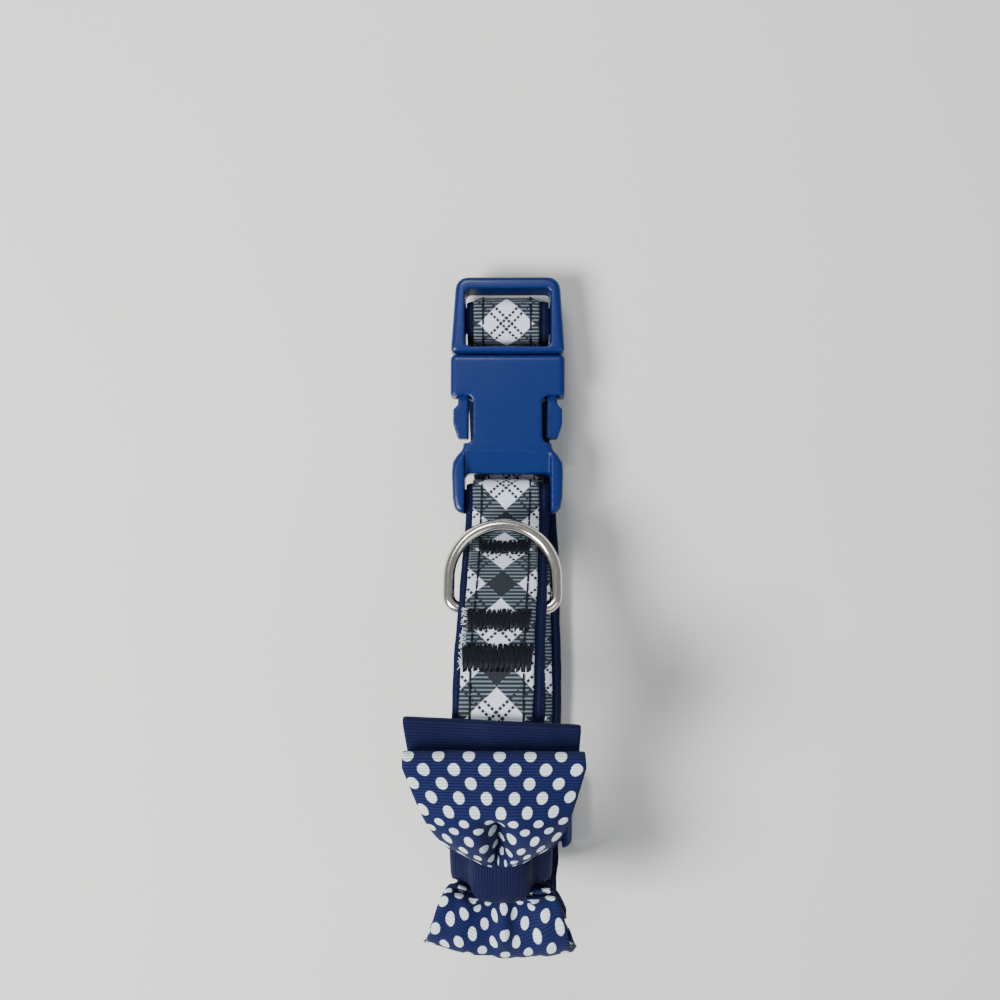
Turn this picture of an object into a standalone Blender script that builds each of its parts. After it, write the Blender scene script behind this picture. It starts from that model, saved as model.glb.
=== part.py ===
"""Buckled dog collar with a bow, lying as a loop. Metres, +Z up, +Y toward the buckle's far end.

The collar's side profile lies in the YZ plane: one reference line follows the inner face of the
webbing from the sewn tail to the slider. Webbing and ribbon are strips offset from that line.
"""
from math import atan2, cos, hypot, pi, radians, sin

import bmesh
import bpy
from mathutils import Vector

MM = 0.001

# Clearances
GAP = 0.3 * MM                   # between pieces that touch

# Webbing and the ribbon sewn on its outer face
WEB_WIDTH = 20.0 * MM
WEB_THICK = 1.2 * MM
RIBBON_WIDTH = 16.0 * MM
RIBBON_THICK = 1.0 * MM

# The loop. Level distances are from the buckle's parting line
LOOP_REACH = 132.5 * MM          # to the inner face at the loop's near end
LOOP_RISE = 47.8 * MM            # inner face at the crown, above the surface
SLIDER_AT = 118.0 * MM           # to the slider's centre bar
RING_AT = 56.0 * MM              # to the D-ring's straight bar
TACK_AT = 46.3 * MM              # to the first tack row
TAIL_AT = 69.0 * MM              # to the sewn tail's end
SEW_FOLD = 14.0 * MM             # bare end folded back round the slider's centre bar
STEP_DOWN = 3.5 * MM             # over which the inner layer steps down past the fold's end
ARC_STEP = radians(18.0)         # angle between stations in tight bends
RUN_STEP = 3.2 * MM              # distance between stations in the bulge
FLAT_STEP = 12.0 * MM            # distance between stations on straight runs

# Points of the bulge as shares of the reach and the rise, from the slope to the near end
BULGE = ((0.389, 0.610), (0.548, 0.915), (0.706, 1.000), (0.845, 0.912), (0.950, 0.690),
         (1.000, 0.400), (0.987, 0.210))

# Sideways drift of the strap's middle line: share of the reach, offset
UPPER_DRIFT = ((0.0, 0.0), (0.24, 0.0), (0.60, -1.9 * MM), (0.78, -1.2 * MM), (0.90, -1.2 * MM),
               (1.0, 2.4 * MM))
LOWER_DRIFT = ((0.05, 0.0), (0.45, 3.3 * MM), (0.66, 3.9 * MM), (0.80, 3.3 * MM), (0.965, 3.3 * MM),
               (1.0, 2.4 * MM))
BOW_DRIFT_END = 0.84             # the bow keeps the drift that the strap has here

# Side-release buckle, in its own frame: y from the parting line, z up from its underside
BUCKLE_TILT = radians(8.0)       # rising toward the bow
BUCKLE_LIFT = 6.3 * MM           # underside above the surface at the parting line
BUCKLE_THICK = 8.0 * MM
BUCKLE_BEVEL = 1.1 * MM
BODY_WIDTH = 27.8 * MM
MALE_END_WIDTH = 25.6 * MM
FEMALE_LENGTH = 38.8 * MM
WINDOW_SIDE = 0.4 * MM            # between the webbing's edge and a window's side
WINDOW_WIDTH = WEB_WIDTH + 2 * WINDOW_SIDE
WINDOW_CORNER = 1.2 * MM
MALE_CORNER = 3.0 * MM
BAR_THICK = 2.2 * MM             # both strap bars
BAR_UNDER = 2.0 * MM             # their underside above the buckle's underside
LIP_LENGTH = 2.9 * MM            # male outer lip
MALE_SLOT = 3.95 * MM
MALE_BAR = 6.2 * MM
BRIDGE_LENGTH = 1.7 * MM          # male half's inner bridge, beside the parting line
MALE_LENGTH = BRIDGE_LENGTH + 2 * MALE_SLOT + MALE_BAR + LIP_LENGTH
BRIDGE_UNDER = 3.4 * MM          # underside of the male half's inner bridge
FEMALE_BAR = 5.9 * MM
FEMALE_SLOT = 3.9 * MM
RAMP_LENGTH = 5.4 * MM
RAMP_DROP = 2.4 * MM
SHELL_WALL = 1.5 * MM
OPENING_START = 10.3 * MM        # side openings, from the parting line
OPENING_END = 21.8 * MM
OPENING_CORNER = 1.6 * MM
PLATEAU_WIDTH = 16.6 * MM        # between the side openings
PRONG_WIDTH = 2.6 * MM
PRONG_LENGTH = 20.6 * MM
PRONG_THICK = 3.6 * MM
PAD_LENGTH = 8.0 * MM
PAD_DEPTH = 1.2 * MM
TONGUE_WIDTH = 4.2 * MM
TONGUE_LENGTH = 9.4 * MM
TONGUE_THICK = 2.2 * MM

# Female outline: share of its length, share of the body width
FEMALE_OUTLINE = ((0.0, 1.0), (0.26, 1.0), (0.36, 0.985), (0.44, 0.955), (0.505, 0.87), (0.545, 0.79),
                  (0.575, 0.77), (0.605, 0.80), (0.635, 0.88), (0.68, 0.955), (0.74, 0.97),
                  (0.90, 0.955), (0.965, 0.92), (1.0, 0.85))

# D-ring
RING_WIRE = 2.8 * MM
RING_SIDE = 1.0 * MM              # between the webbing's edge and the wire
RING_WIDTH = WEB_WIDTH + 2 * (RING_SIDE + RING_WIRE)      # overall
RING_DEPTH = 22.2 * MM           # overall
RING_CORNER = 3.0 * MM           # middle line of the corners beside the straight bar
RING_OVER = 0.6 * MM             # clearance over the bar in its tunnel
RING_UNDER = 0.35 * MM
RING_REST_GAP = 0.4 * MM         # between the lying ring and the ribbon

# Slider
SLIDER_SIDE = 0.9 * MM            # between the webbing's edge and a rail
SLIDER_LENGTH = 17.6 * MM
SLIDER_RAIL = 2.6 * MM
SLIDER_WIDTH = WEB_WIDTH + 2 * (SLIDER_SIDE + SLIDER_RAIL)
SLIDER_CORNER = 2.4 * MM
SLIDER_HOLE_CORNER = 0.8 * MM
SLIDER_BEVEL = 0.7 * MM
SLIDER_END_BAR = 2.7 * MM
SLIDER_END_THICK = 1.6 * MM
SLIDER_MID_BAR = 3.0 * MM
SLIDER_MID_THICK = 1.9 * MM
WEAVE_SLOPE = radians(30.0)
WEAVE_BEND = 3.4 * MM            # bend radius where the ribbon is on the inside

# Bow, with a along the strap from the knot and h above the ribbon
BOW_AT = 112.0 * MM              # level distance to the knot
BOW_RIBBON = 38.0 * MM
BOW_CLOTH = 1.0 * MM
GATHER_WIDTH = 10.6 * MM
PLAIN_FAR, PLAIN_NEAR = 35.0 * MM, 21.5 * MM
DOTTED_FAR, DOTTED_NEAR = 29.0 * MM, 24.0 * MM
PLAIN_LOFT = 2.0 * MM            # between the middles of the two layers at a lobe's end
DOTTED_LOFT = 3.6 * MM
DOTTED_PUFF = 2.8 * MM           # extra height of the dotted lobe's middle
DOTTED_VALLEY = 2.2 * MM         # depth of the fold along the dotted lobe
KNOT_BAND = 10.0 * MM
KNOT_WALL = 1.0 * MM

STRAP_THICK = WEB_THICK + GAP + RIBBON_THICK


# ---- side profile ---------------------------------------------------------------------------

def seat(y, z):
    """World (Y, Z) of a point given in the buckle's frame."""
    return (y * cos(BUCKLE_TILT) + z * sin(BUCKLE_TILT),
            BUCKLE_LIFT - y * sin(BUCKLE_TILT) + z * cos(BUCKLE_TILT))


def arc(centre, radius, start, end):
    """Points on an arc, from the start angle to the end angle."""
    count = max(2, int(abs(end - start) / ARC_STEP + 0.999))
    return [(centre[0] + radius * cos(start + (end - start) * i / count),
             centre[1] + radius * sin(start + (end - start) * i / count)) for i in range(count + 1)]


def bend(corners):
    """Points along a line of corners (y, z, radius), each rounded by its radius."""
    points = [corners[0][:2]]
    for (y0, z0, _), (y1, z1, radius), (y2, z2, _) in zip(corners, corners[1:], corners[2:]):
        into = Vector((y1 - y0, z1 - z0)).normalized()
        out = Vector((y2 - y1, z2 - z1)).normalized()
        turn = atan2(into.x * out.y - into.y * out.x, into.dot(out))
        if radius <= 0.0 or abs(turn) < 0.02:
            points.append((y1, z1))
            continue
        side = 1.0 if turn > 0 else -1.0
        tangent = radius * abs(sin(turn / 2) / cos(turn / 2))
        centre = (y1 - into.x * tangent - side * into.y * radius,
                  z1 - into.y * tangent + side * into.x * radius)
        begin = atan2(-side * into.x, side * into.y)
        points += arc(centre, radius, begin, begin + turn)
    points.append(corners[-1][:2])
    return points


def smooth(points, into, out, step):
    """A smooth curve through points, leaving and arriving along two directions."""
    chords = [hypot(b[0] - a[0], b[1] - a[1]) for a, b in zip(points, points[1:])]
    slopes = [into]
    for i in range(1, len(points) - 1):
        before, after = chords[i - 1], chords[i]
        slopes.append(tuple(((points[i][k] - points[i - 1][k]) * after / before
                             + (points[i + 1][k] - points[i][k]) * before / after)
                            / (before + after) for k in (0, 1)))
    slopes.append(out)
    curve = [points[0]]
    for i, chord in enumerate(chords):
        count = max(2, round(chord / step))
        for j in range(1, count + 1):
            t = j / count
            h = (2 * t ** 3 - 3 * t ** 2 + 1, t ** 3 - 2 * t ** 2 + t,
                 3 * t ** 2 - 2 * t ** 3, t ** 3 - t ** 2)
            curve.append(tuple(h[0] * points[i][k] + h[1] * chord * slopes[i][k]
                               + h[2] * points[i + 1][k] + h[3] * chord * slopes[i + 1][k]
                               for k in (0, 1)))
    return curve


def ease(value):
    """0 below 0, 1 above 1, smooth between."""
    value = min(1.0, max(0.0, value))
    return value * value * (3.0 - 2.0 * value)


def offset(line, distance):
    """The line moved outward; outward is to the right of its direction."""
    moved = []
    for i, (y, z) in enumerate(line):
        (y0, z0), (y1, z1) = line[max(0, i - 1)], line[min(len(line) - 1, i + 1)]
        long = hypot(y1 - y0, z1 - z0)
        moved.append((y + (z1 - z0) / long * distance, z - (y1 - y0) / long * distance))
    return moved


def joined(*lines):
    """Lines end to end without doubled points, with stations along long straight runs."""
    points = []
    for line in lines:
        for point in line:
            if points:
                long = hypot(point[0] - points[-1][0], point[1] - points[-1][1])
                if long < 0.15 * MM:
                    continue
                count = int(long / FLAT_STEP)
                last = points[-1]
                points += [tuple(last[k] + (point[k] - last[k]) * (i + 1) / (count + 1)
                                 for k in (0, 1)) for i in range(count)]
            points.append(point)
    return points


WRAP = BAR_THICK / 2 + GAP                       # webbing's inner face round a bar's rounded edge
BAR_MIDDLE = BAR_UNDER + BAR_THICK / 2
MALE_BAR_START = BRIDGE_LENGTH + MALE_SLOT
FLOOR_LINE = STRAP_THICK                         # inner face of the strap that lies on the surface
TILT_UP = pi / 2 - BUCKLE_TILT                   # angle of the buckle's upward normal


def top_line():
    """From the female bar up the slope, over the bulge and down to the slider's near end bar."""
    first = seat(-(FEMALE_LENGTH - FEMALE_BAR + BAR_THICK / 2), BAR_MIDDLE + WRAP)
    start = seat(-(FEMALE_LENGTH - BAR_THICK / 2), BAR_MIDDLE + WRAP)
    end = (-(SLIDER_AT + SLIDER_LENGTH / 2 - SLIDER_END_BAR / 2), SLIDER_END_THICK + GAP + STRAP_THICK)
    points = [start] + [(-share * LOOP_REACH, rise * LOOP_RISE) for share, rise in BULGE] + [end]
    return [first] + smooth(points, (-cos(BUCKLE_TILT), sin(BUCKLE_TILT)), (1.0, 0.0), RUN_STEP)


def length_at(line, reach):
    """Length along the line to where it first passes a level distance."""
    long = 0.0
    for a, b in zip(line, line[1:]):
        step = hypot(b[0] - a[0], b[1] - a[1])
        if -b[0] >= reach:
            return long + step * (reach + a[0]) / (a[0] - b[0])
        long += step
    return long


def tail_line(top):
    """Inner face of the sewn tail under the slope: closed at the tacks, open round the D-ring."""
    tunnel = RING_OVER + RING_WIRE + RING_UNDER
    ring, tack, end = (length_at(top, at) for at in (RING_AT, TACK_AT, TAIL_AT))
    points, long = [], 0.0
    for i, (spot, under) in enumerate(zip(top, offset(top, 1.0))):
        if i:
            long += hypot(spot[0] - top[i - 1][0], spot[1] - top[i - 1][1])
        if long > end:
            break
        half = ring - tack
        gap = GAP + (2 * WRAP - GAP) * (1.0 - ease((long - FEMALE_BAR) / (tack - FEMALE_BAR))) \
            + (tunnel - GAP) * (1.0 - ease((abs(long - ring) - RING_WIRE / 3) / (half - RING_WIRE / 3)))
        points.append((spot[0] - (under[0] - spot[0]) * gap, spot[1] - (under[1] - spot[1]) * gap))
    return points[::-1]


def weave_line():
    """Through the slider: over its end bars, under its centre bar, then down to the surface."""
    high = SLIDER_END_THICK + GAP + FLOOR_LINE
    over = SLIDER_LENGTH / 2 - SLIDER_END_BAR / 2
    flat = SLIDER_END_BAR / 2 + 2.5 * GAP
    run = (high - FLOOR_LINE) / sin(WEAVE_SLOPE) * cos(WEAVE_SLOPE)
    return bend([(-SLIDER_AT - over, high, 0.0), (-SLIDER_AT - over + flat, high, WEAVE_BEND),
                 (-SLIDER_AT - over + flat + run, FLOOR_LINE, GAP * 4),
                 (-SLIDER_AT + over - flat - run, FLOOR_LINE, GAP * 4),
                 (-SLIDER_AT + over - flat, high, WEAVE_BEND), (-SLIDER_AT + over + flat, high, WEAVE_BEND),
                 (-SLIDER_AT + over + flat + run, FLOOR_LINE, GAP * 4), (-SLIDER_AT * 0.75, FLOOR_LINE, 0.0)])


def male_line():
    """Up through the male half's outer slot, over its bar and down its inner slot."""
    outer = seat(MALE_BAR_START + MALE_BAR - BAR_THICK / 2, BAR_MIDDLE)
    inner = seat(MALE_BAR_START + BAR_THICK / 2, BAR_MIDDLE)
    dive = radians(150.0)
    rise = bend([(outer[0] - WEAVE_BEND * 3, FLOOR_LINE, 0.0), (outer[0] + WRAP, FLOOR_LINE, WEB_THICK * 2),
                 (outer[0] + WRAP, outer[1], 0.0)])
    over = joined(arc(outer, WRAP, 0.0, TILT_UP), arc(inner, WRAP, TILT_UP, dive))
    last, level = over[-1], FLOOR_LINE + GAP
    foot = last[0] - (last[1] - level) / sin(dive - pi / 2) * cos(dive - pi / 2)
    fall = bend([last + (0.0,), (foot, level, WEAVE_BEND), (foot - WEAVE_BEND * 2, level, 0.0)])
    return joined(rise, over, fall)


def fold_line():
    """The inner layer's end: over the lower strap, round the slider's centre bar and back."""
    layer = WEB_THICK + GAP
    high = SLIDER_END_THICK + GAP + FLOOR_LINE + GAP + layer
    low = FLOOR_LINE + GAP
    middle_z = low + WEB_THICK + GAP + SLIDER_MID_THICK / 2
    wrap = SLIDER_MID_THICK / 2 + GAP
    top = max(high, middle_z + wrap)
    over = SLIDER_LENGTH / 2 - SLIDER_END_BAR / 2
    flat = SLIDER_END_BAR / 2 + 2.5 * GAP
    run = (high - GAP - layer - FLOOR_LINE) / sin(WEAVE_SLOPE) * cos(WEAVE_SLOPE)
    end = -SLIDER_AT + SEW_FOLD
    bar = -SLIDER_AT - SLIDER_MID_BAR / 2 + SLIDER_MID_THICK / 2
    above = bend([(end + STEP_DOWN * 2.3, low, 0.0), (end + STEP_DOWN * 1.3, low, WEAVE_BEND),
                  (end + STEP_DOWN * 0.3, low + layer, GAP * 4),
                  (-SLIDER_AT + over + flat + run, low + layer, GAP * 4),
                  (-SLIDER_AT + over + flat, top, WEAVE_BEND), (bar, middle_z + wrap, 0.0)])
    round_bar = arc((bar, middle_z), wrap, pi / 2, 3 * pi / 2)
    back = bend([(bar, middle_z - wrap, 0.0), (-SLIDER_AT + over - flat - run, low + WEB_THICK, GAP * 4),
                 (-SLIDER_AT + over - flat, high - GAP, WEAVE_BEND),
                 (-SLIDER_AT + over + flat, high - GAP, WEAVE_BEND),
                 (-SLIDER_AT + over + flat + run, low + WEB_THICK, GAP * 4), (end, low + WEB_THICK, 0.0)])
    return joined(above, round_bar, back), middle_z


def drift(y, upper):
    """Sideways offset of the strap at a level distance."""
    table = UPPER_DRIFT if upper else LOWER_DRIFT
    share = -y / LOOP_REACH
    if share <= table[0][0]:
        return table[0][1]
    for (s0, x0), (s1, x1) in zip(table, table[1:]):
        if share <= s1:
            return x0 + (x1 - x0) * ease((share - s0) / (s1 - s0))
    return table[-1][1]


def strap_path():
    """The whole reference line as (x, y, z), and how many of its points the ribbon covers."""
    top = top_line()
    bar = seat(-(FEMALE_LENGTH - FEMALE_BAR + BAR_THICK / 2), BAR_MIDDLE)
    round_bar = arc(bar, WRAP, TILT_UP - pi, TILT_UP)
    fold, _ = fold_line()
    near = min(range(len(top)), key=lambda i: top[i][0])
    upper = joined(tail_line(top), round_bar, top[:near + 1])
    covered = joined(upper, top[near + 1:], weave_line(), male_line(), fold[:1])
    line = joined(covered, fold)
    path = [(drift(y, i < len(upper)), y, z) for i, (y, z) in enumerate(line)]
    return path, len(covered)


# ---- solids ---------------------------------------------------------------------------------

def material(name, color, roughness, metallic=0.0):
    """A Principled BSDF material."""
    finish = bpy.data.materials.new(name)
    finish.use_nodes = True
    shader = finish.node_tree.nodes["Principled BSDF"]
    shader.inputs["Base Color"].default_value = (*color, 1.0)
    shader.inputs["Roughness"].default_value = roughness
    shader.inputs["Metallic"].default_value = metallic
    return finish


def add_object(name, mesh, finish, parent):
    """An object made of a bmesh, under its parent."""
    bmesh.ops.recalc_face_normals(mesh, faces=mesh.faces)
    data = bpy.data.meshes.new(name)
    mesh.to_mesh(data)
    mesh.free()
    data.materials.append(finish)
    thing = bpy.data.objects.new(name, data)
    bpy.context.collection.objects.link(thing)
    thing.parent = parent
    return thing


def hull_of_rings(rings, closed):
    """A closed solid through rings of points; the ends are capped unless the rings close."""
    mesh = bmesh.new()
    rows = [[mesh.verts.new(point) for point in ring] for ring in rings]
    pairs = list(zip(rows, rows[1:])) + ([(rows[-1], rows[0])] if closed else [])
    for a, b in pairs:
        for i in range(len(a)):
            j = (i + 1) % len(a)
            mesh.faces.new((a[i], a[j], b[j], b[i]))
    if not closed:
        mesh.faces.new(rows[0])
        mesh.faces.new(rows[-1])
    return mesh


def strip(path, width, inner, outer):
    """A strip of cloth along the path between two offsets on its outward side."""
    line = [(y, z) for _, y, z in path]
    low, high = offset(line, inner), offset(line, outer)
    rings = [((x - width / 2, *a), (x + width / 2, *a), (x + width / 2, *b), (x - width / 2, *b))
             for (x, _, _), a, b in zip(path, low, high)]
    return hull_of_rings(rings, False)


def prism(outline, low, high):
    """An upright solid of an outline (x, y) between two heights."""
    mesh = bmesh.new()
    base = mesh.faces.new([mesh.verts.new((x, y, low)) for x, y in outline])
    lifted = bmesh.ops.extrude_face_region(mesh, geom=[base])["geom"]
    bmesh.ops.translate(mesh, vec=(0.0, 0.0, high - low),
                        verts=[item for item in lifted if isinstance(item, bmesh.types.BMVert)])
    return mesh


def cross_prism(outline, half):
    """A solid of a side outline (y, z), lying across the buckle."""
    mesh = prism([(y, z) for y, z in outline], -half, half)
    for vert in mesh.verts:
        y, z, x = vert.co
        vert.co = (x, y, z)
    return mesh


def box(x0, x1, y0, y1, z0, z1):
    """A plain block."""
    return prism([(x0, y0), (x1, y0), (x1, y1), (x0, y1)], z0, z1)


def rounded(x0, x1, y0, y1, radius, steps=4):
    """A rectangle's outline with round corners."""
    corners = ((x1 - radius, y1 - radius, 0), (x0 + radius, y1 - radius, 1),
               (x0 + radius, y0 + radius, 2), (x1 - radius, y0 + radius, 3))
    return [(x + radius * cos((quarter + i / steps) * pi / 2), y + radius * sin((quarter + i / steps) * pi / 2))
            for x, y, quarter in corners for i in range(steps + 1)]


def round_bar(start, end, low, thick):
    """Side outline (y, z) of a bar with round edges."""
    radius = thick / 2
    return [(end - radius + radius * cos(-pi / 2 + pi * i / 5), low + radius + radius * sin(-pi / 2 + pi * i / 5))
            for i in range(6)] + \
           [(start + radius + radius * cos(pi / 2 + pi * i / 5), low + radius + radius * sin(pi / 2 + pi * i / 5))
            for i in range(6)]


def bevel(thing, width, segments=2):
    """Rounds an object's sharp edges."""
    modifier = thing.modifiers.new("Bevel", "BEVEL")
    modifier.width = width
    modifier.segments = segments
    modifier.limit_method = "ANGLE"
    modifier.angle_limit = radians(50.0)


def shape_by(thing, tool_mesh, operation, finish):
    """Cuts or joins a tool solid into an object with a Boolean."""
    tool = add_object(f"{thing.name}_tool_{len(thing.modifiers)}", tool_mesh, finish, thing)
    tool.hide_render = True
    tool.display_type = "WIRE"
    modifier = thing.modifiers.new(operation.title(), "BOOLEAN")
    modifier.operation = operation
    modifier.solver = "EXACT"
    modifier.object = tool


def buckle_female(finish, seat_empty):
    """Female half: bevelled shell with side openings, ramp, window, rails and end bar."""
    right = [(share_x * BODY_WIDTH / 2, -GAP - share_y * (FEMALE_LENGTH - GAP))
             for share_y, share_x in FEMALE_OUTLINE]
    body = add_object("buckle_female", prism(right + [(-x, y) for x, y in reversed(right)],
                                             0.0, BUCKLE_THICK), finish, seat_empty)
    bevel(body, BUCKLE_BEVEL)
    inside = BODY_WIDTH / 2 - SHELL_WALL
    middle = (BUCKLE_THICK - PRONG_THICK) / 2 - 2 * GAP
    past = BUCKLE_THICK / 4
    shape_by(body, box(-inside, inside, -OPENING_START - GAP, past, middle, BUCKLE_THICK - middle),
             "DIFFERENCE", finish)
    for side in (-1, 1):
        edges = sorted((side * PLATEAU_WIDTH / 2, side * BODY_WIDTH))
        shape_by(body, prism(rounded(*edges, -OPENING_END, -OPENING_START, OPENING_CORNER), -past,
                             BUCKLE_THICK + past), "DIFFERENCE", finish)
    slot = -(FEMALE_LENGTH - FEMALE_BAR - FEMALE_SLOT)
    half = WINDOW_WIDTH / 2
    window = prism(rounded(-half, half, -FEMALE_LENGTH - 3 * past, slot, WINDOW_CORNER), -past,
                   BUCKLE_THICK + past)
    shape_by(body, window, "DIFFERENCE", finish)
    ramp = [(slot + RAMP_LENGTH, BUCKLE_THICK * 1.002), (slot - past, BUCKLE_THICK - RAMP_DROP
             - past * RAMP_DROP / RAMP_LENGTH), (slot - past, BUCKLE_THICK + past),
            (slot + RAMP_LENGTH, BUCKLE_THICK + past)]
    shape_by(body, cross_prism(ramp, half), "DIFFERENCE", finish)
    bar = round_bar(-FEMALE_LENGTH, -(FEMALE_LENGTH - FEMALE_BAR), BAR_UNDER, BAR_THICK)
    shape_by(body, cross_prism(bar, half + SHELL_WALL / 2), "UNION", finish)
    return body


def buckle_male(finish, seat_empty):
    """Male half: frame with window, bridge, recessed bar, side prongs with pads and tongue."""
    wide, narrow, corner = BODY_WIDTH / 2, MALE_END_WIDTH / 2, MALE_CORNER
    right = [(wide, 0.0)] + [(narrow - corner + corner * cos(pi / 8 * i),
                              MALE_LENGTH - corner + corner * sin(pi / 8 * i)) for i in range(5)]
    body = add_object("buckle_male", prism(right + [(-x, y) for x, y in reversed(right)],
                                           0.0, BUCKLE_THICK), finish, seat_empty)
    bevel(body, BUCKLE_BEVEL)
    half, past = WINDOW_WIDTH / 2, BUCKLE_THICK / 4
    shape_by(body, prism(rounded(-half, half, BRIDGE_LENGTH, MALE_LENGTH - LIP_LENGTH, WINDOW_CORNER),
                         -past, BUCKLE_THICK + past), "DIFFERENCE", finish)
    shape_by(body, box(-half, half, -past, BRIDGE_LENGTH + past, -past, BRIDGE_UNDER),
             "DIFFERENCE", finish)
    bar = round_bar(MALE_BAR_START, MALE_BAR_START + MALE_BAR, BAR_UNDER, BAR_THICK)
    shape_by(body, cross_prism(bar, half + SHELL_WALL / 2), "UNION", finish)
    outer = BODY_WIDTH / 2 - SHELL_WALL - GAP
    inner = outer - PRONG_WIDTH
    low = (BUCKLE_THICK - PRONG_THICK) / 2
    root = BRIDGE_LENGTH / 2
    for side in (-1, 1):
        shape = [(inner, root), (outer, root), (outer, -PRONG_LENGTH + PAD_LENGTH * 1.05),
                 (outer + PAD_DEPTH, -PRONG_LENGTH + PAD_LENGTH * 0.9),
                 (outer + PAD_DEPTH, -PRONG_LENGTH + PAD_LENGTH * 0.45),
                 (outer, -PRONG_LENGTH), (inner, -PRONG_LENGTH)]
        shape_by(body, prism([(side * x, y) for x, y in shape], low, low + PRONG_THICK), "UNION", finish)
    tongue_low = BRIDGE_UNDER + GAP
    shape_by(body, box(-TONGUE_WIDTH / 2, TONGUE_WIDTH / 2, -TONGUE_LENGTH, root, tongue_low,
                       tongue_low + TONGUE_THICK), "UNION", finish)
    return body


def strap_slider(finish, parent):
    """Slider: a frame with two low end bars and a raised centre bar."""
    _, middle_z = fold_line()
    top = middle_z + SLIDER_MID_THICK / 2
    half, long = SLIDER_WIDTH / 2, SLIDER_LENGTH / 2
    body = add_object("strap_slider", prism(rounded(-half, half, -long, long, SLIDER_CORNER), 0.0, top),
                      finish, parent)
    bevel(body, SLIDER_BEVEL, 1)
    inner = half - SLIDER_RAIL
    shape_by(body, box(-inner, inner, -long * 2, long * 2, SLIDER_END_THICK, top * 2), "DIFFERENCE", finish)
    shape_by(body, prism(rounded(-inner, inner, -long + SLIDER_END_BAR, long - SLIDER_END_BAR,
                                 SLIDER_HOLE_CORNER, 2),
                         -top, top), "DIFFERENCE", finish)
    bar = round_bar(-SLIDER_MID_BAR / 2, SLIDER_MID_BAR / 2, middle_z - SLIDER_MID_THICK / 2, SLIDER_MID_THICK)
    shape_by(body, cross_prism(bar, inner + SLIDER_RAIL / 2), "UNION", finish)
    body.location = (drift(-SLIDER_AT, False), -SLIDER_AT, 0.0)
    return body


def ring_outline():
    """Middle line of the D-ring in its plane (x, v), with its straight bar on v = 0."""
    half = (RING_WIDTH - RING_WIRE) / 2
    top = RING_DEPTH - RING_WIRE
    points = [(half - RING_CORNER + RING_CORNER * sin(pi / 2 * i / 5),
               RING_CORNER - RING_CORNER * cos(pi / 2 * i / 5)) for i in range(6)]
    points += [(half * cos(pi * i / 18), top - half + half * sin(pi * i / 18)) for i in range(19)]
    return points + [(-x, v) for x, v in reversed(points[:6])]


def ring_seat(top):
    """The straight bar's place in its tunnel, and the angle at which the ring lies on the ribbon."""
    reach = min(range(len(top)), key=lambda i: abs(-top[i][0] - RING_AT))
    bar = offset(top, -(RING_OVER + RING_WIRE / 2))[reach]
    face = offset(top, STRAP_THICK)
    clear = RING_WIRE / 2 + RING_REST_GAP
    far = [v for x, v in ring_outline() if abs(x) < WEB_WIDTH / 2 and v > RING_DEPTH / 3]
    below = radians(-60.0)
    while any(hypot(bar[0] + v * cos(below) - y, bar[1] + v * sin(below) - z) < clear
              or (abs(bar[0] + v * cos(below) - y) < RUN_STEP / 2 and bar[1] + v * sin(below) < z)
              for v in far for y, z in face):
        below += radians(0.5)
    return bar, below


def d_ring(finish, parent):
    """Bent wire ring whose straight bar lies on the object's X axis."""
    bar, angle = ring_seat(top_line())
    curve = bpy.data.curves.new("d_ring", "CURVE")
    curve.dimensions = "3D"
    curve.bevel_depth = RING_WIRE / 2
    curve.bevel_resolution = 3
    points = ring_outline()
    spline = curve.splines.new("POLY")
    spline.points.add(len(points) - 1)
    for point, (x, v) in zip(spline.points, points):
        point.co = (x, v * cos(angle), v * sin(angle), 1.0)
    spline.use_cyclic_u = True
    curve.materials.append(finish)
    ring = bpy.data.objects.new("d_ring", curve)
    bpy.context.collection.objects.link(ring)
    ring.parent = parent
    ring.location = (drift(bar[0], True), *bar)
    return ring


# ---- bow ------------------------------------------------------------------------------------

class StrapFace:
    """The ribbon's outer face round the knot: maps (across, along, height) to the world."""

    def __init__(self):
        self.line = offset(top_line(), STRAP_THICK)
        self.marks = [0.0]
        for a, b in zip(self.line, self.line[1:]):
            self.marks.append(self.marks[-1] + hypot(b[0] - a[0], b[1] - a[1]))
        self.knot = length_at(self.line, BOW_AT)

    def point(self, across, along, height):
        """World point; along is counted from the knot toward the buckle."""
        long = min(max(self.knot - along, 0.0), self.marks[-1])
        i = min(max(1, sum(mark < long for mark in self.marks)), len(self.line) - 1)
        share = (long - self.marks[i - 1]) / (self.marks[i] - self.marks[i - 1])
        face, above = self.line, offset(self.line, height)
        y, z = (above[i - 1][k] + (above[i][k] - above[i - 1][k]) * share for k in (0, 1))
        level = min(-face[i][0], BOW_DRIFT_END * LOOP_REACH)
        return (across + drift(-level, True), y, z)


PINCH = BOW_CLOTH + GAP                # between the middles of two layers at the knot


def upper_height(share, loft, puff):
    """Height of a lobe's upper layer over its lower layer, from the knot (0) to its end (1)."""
    return PINCH + (loft - PINCH) * ease(share * 1.6) + puff * sin(pi * min(1.0, share)) ** 2


def plain_top(along):
    """Height of the plain bow's upper face under the dotted bow."""
    end = PLAIN_FAR if along > 0 else PLAIN_NEAR
    run = end - PLAIN_LOFT / 2
    share = max(0.0, abs(along) - KNOT_BAND / 2) / (run - KNOT_BAND / 2)
    return GAP + BOW_CLOTH + upper_height(min(share, 1.0), PLAIN_LOFT, 0.0)


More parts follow.
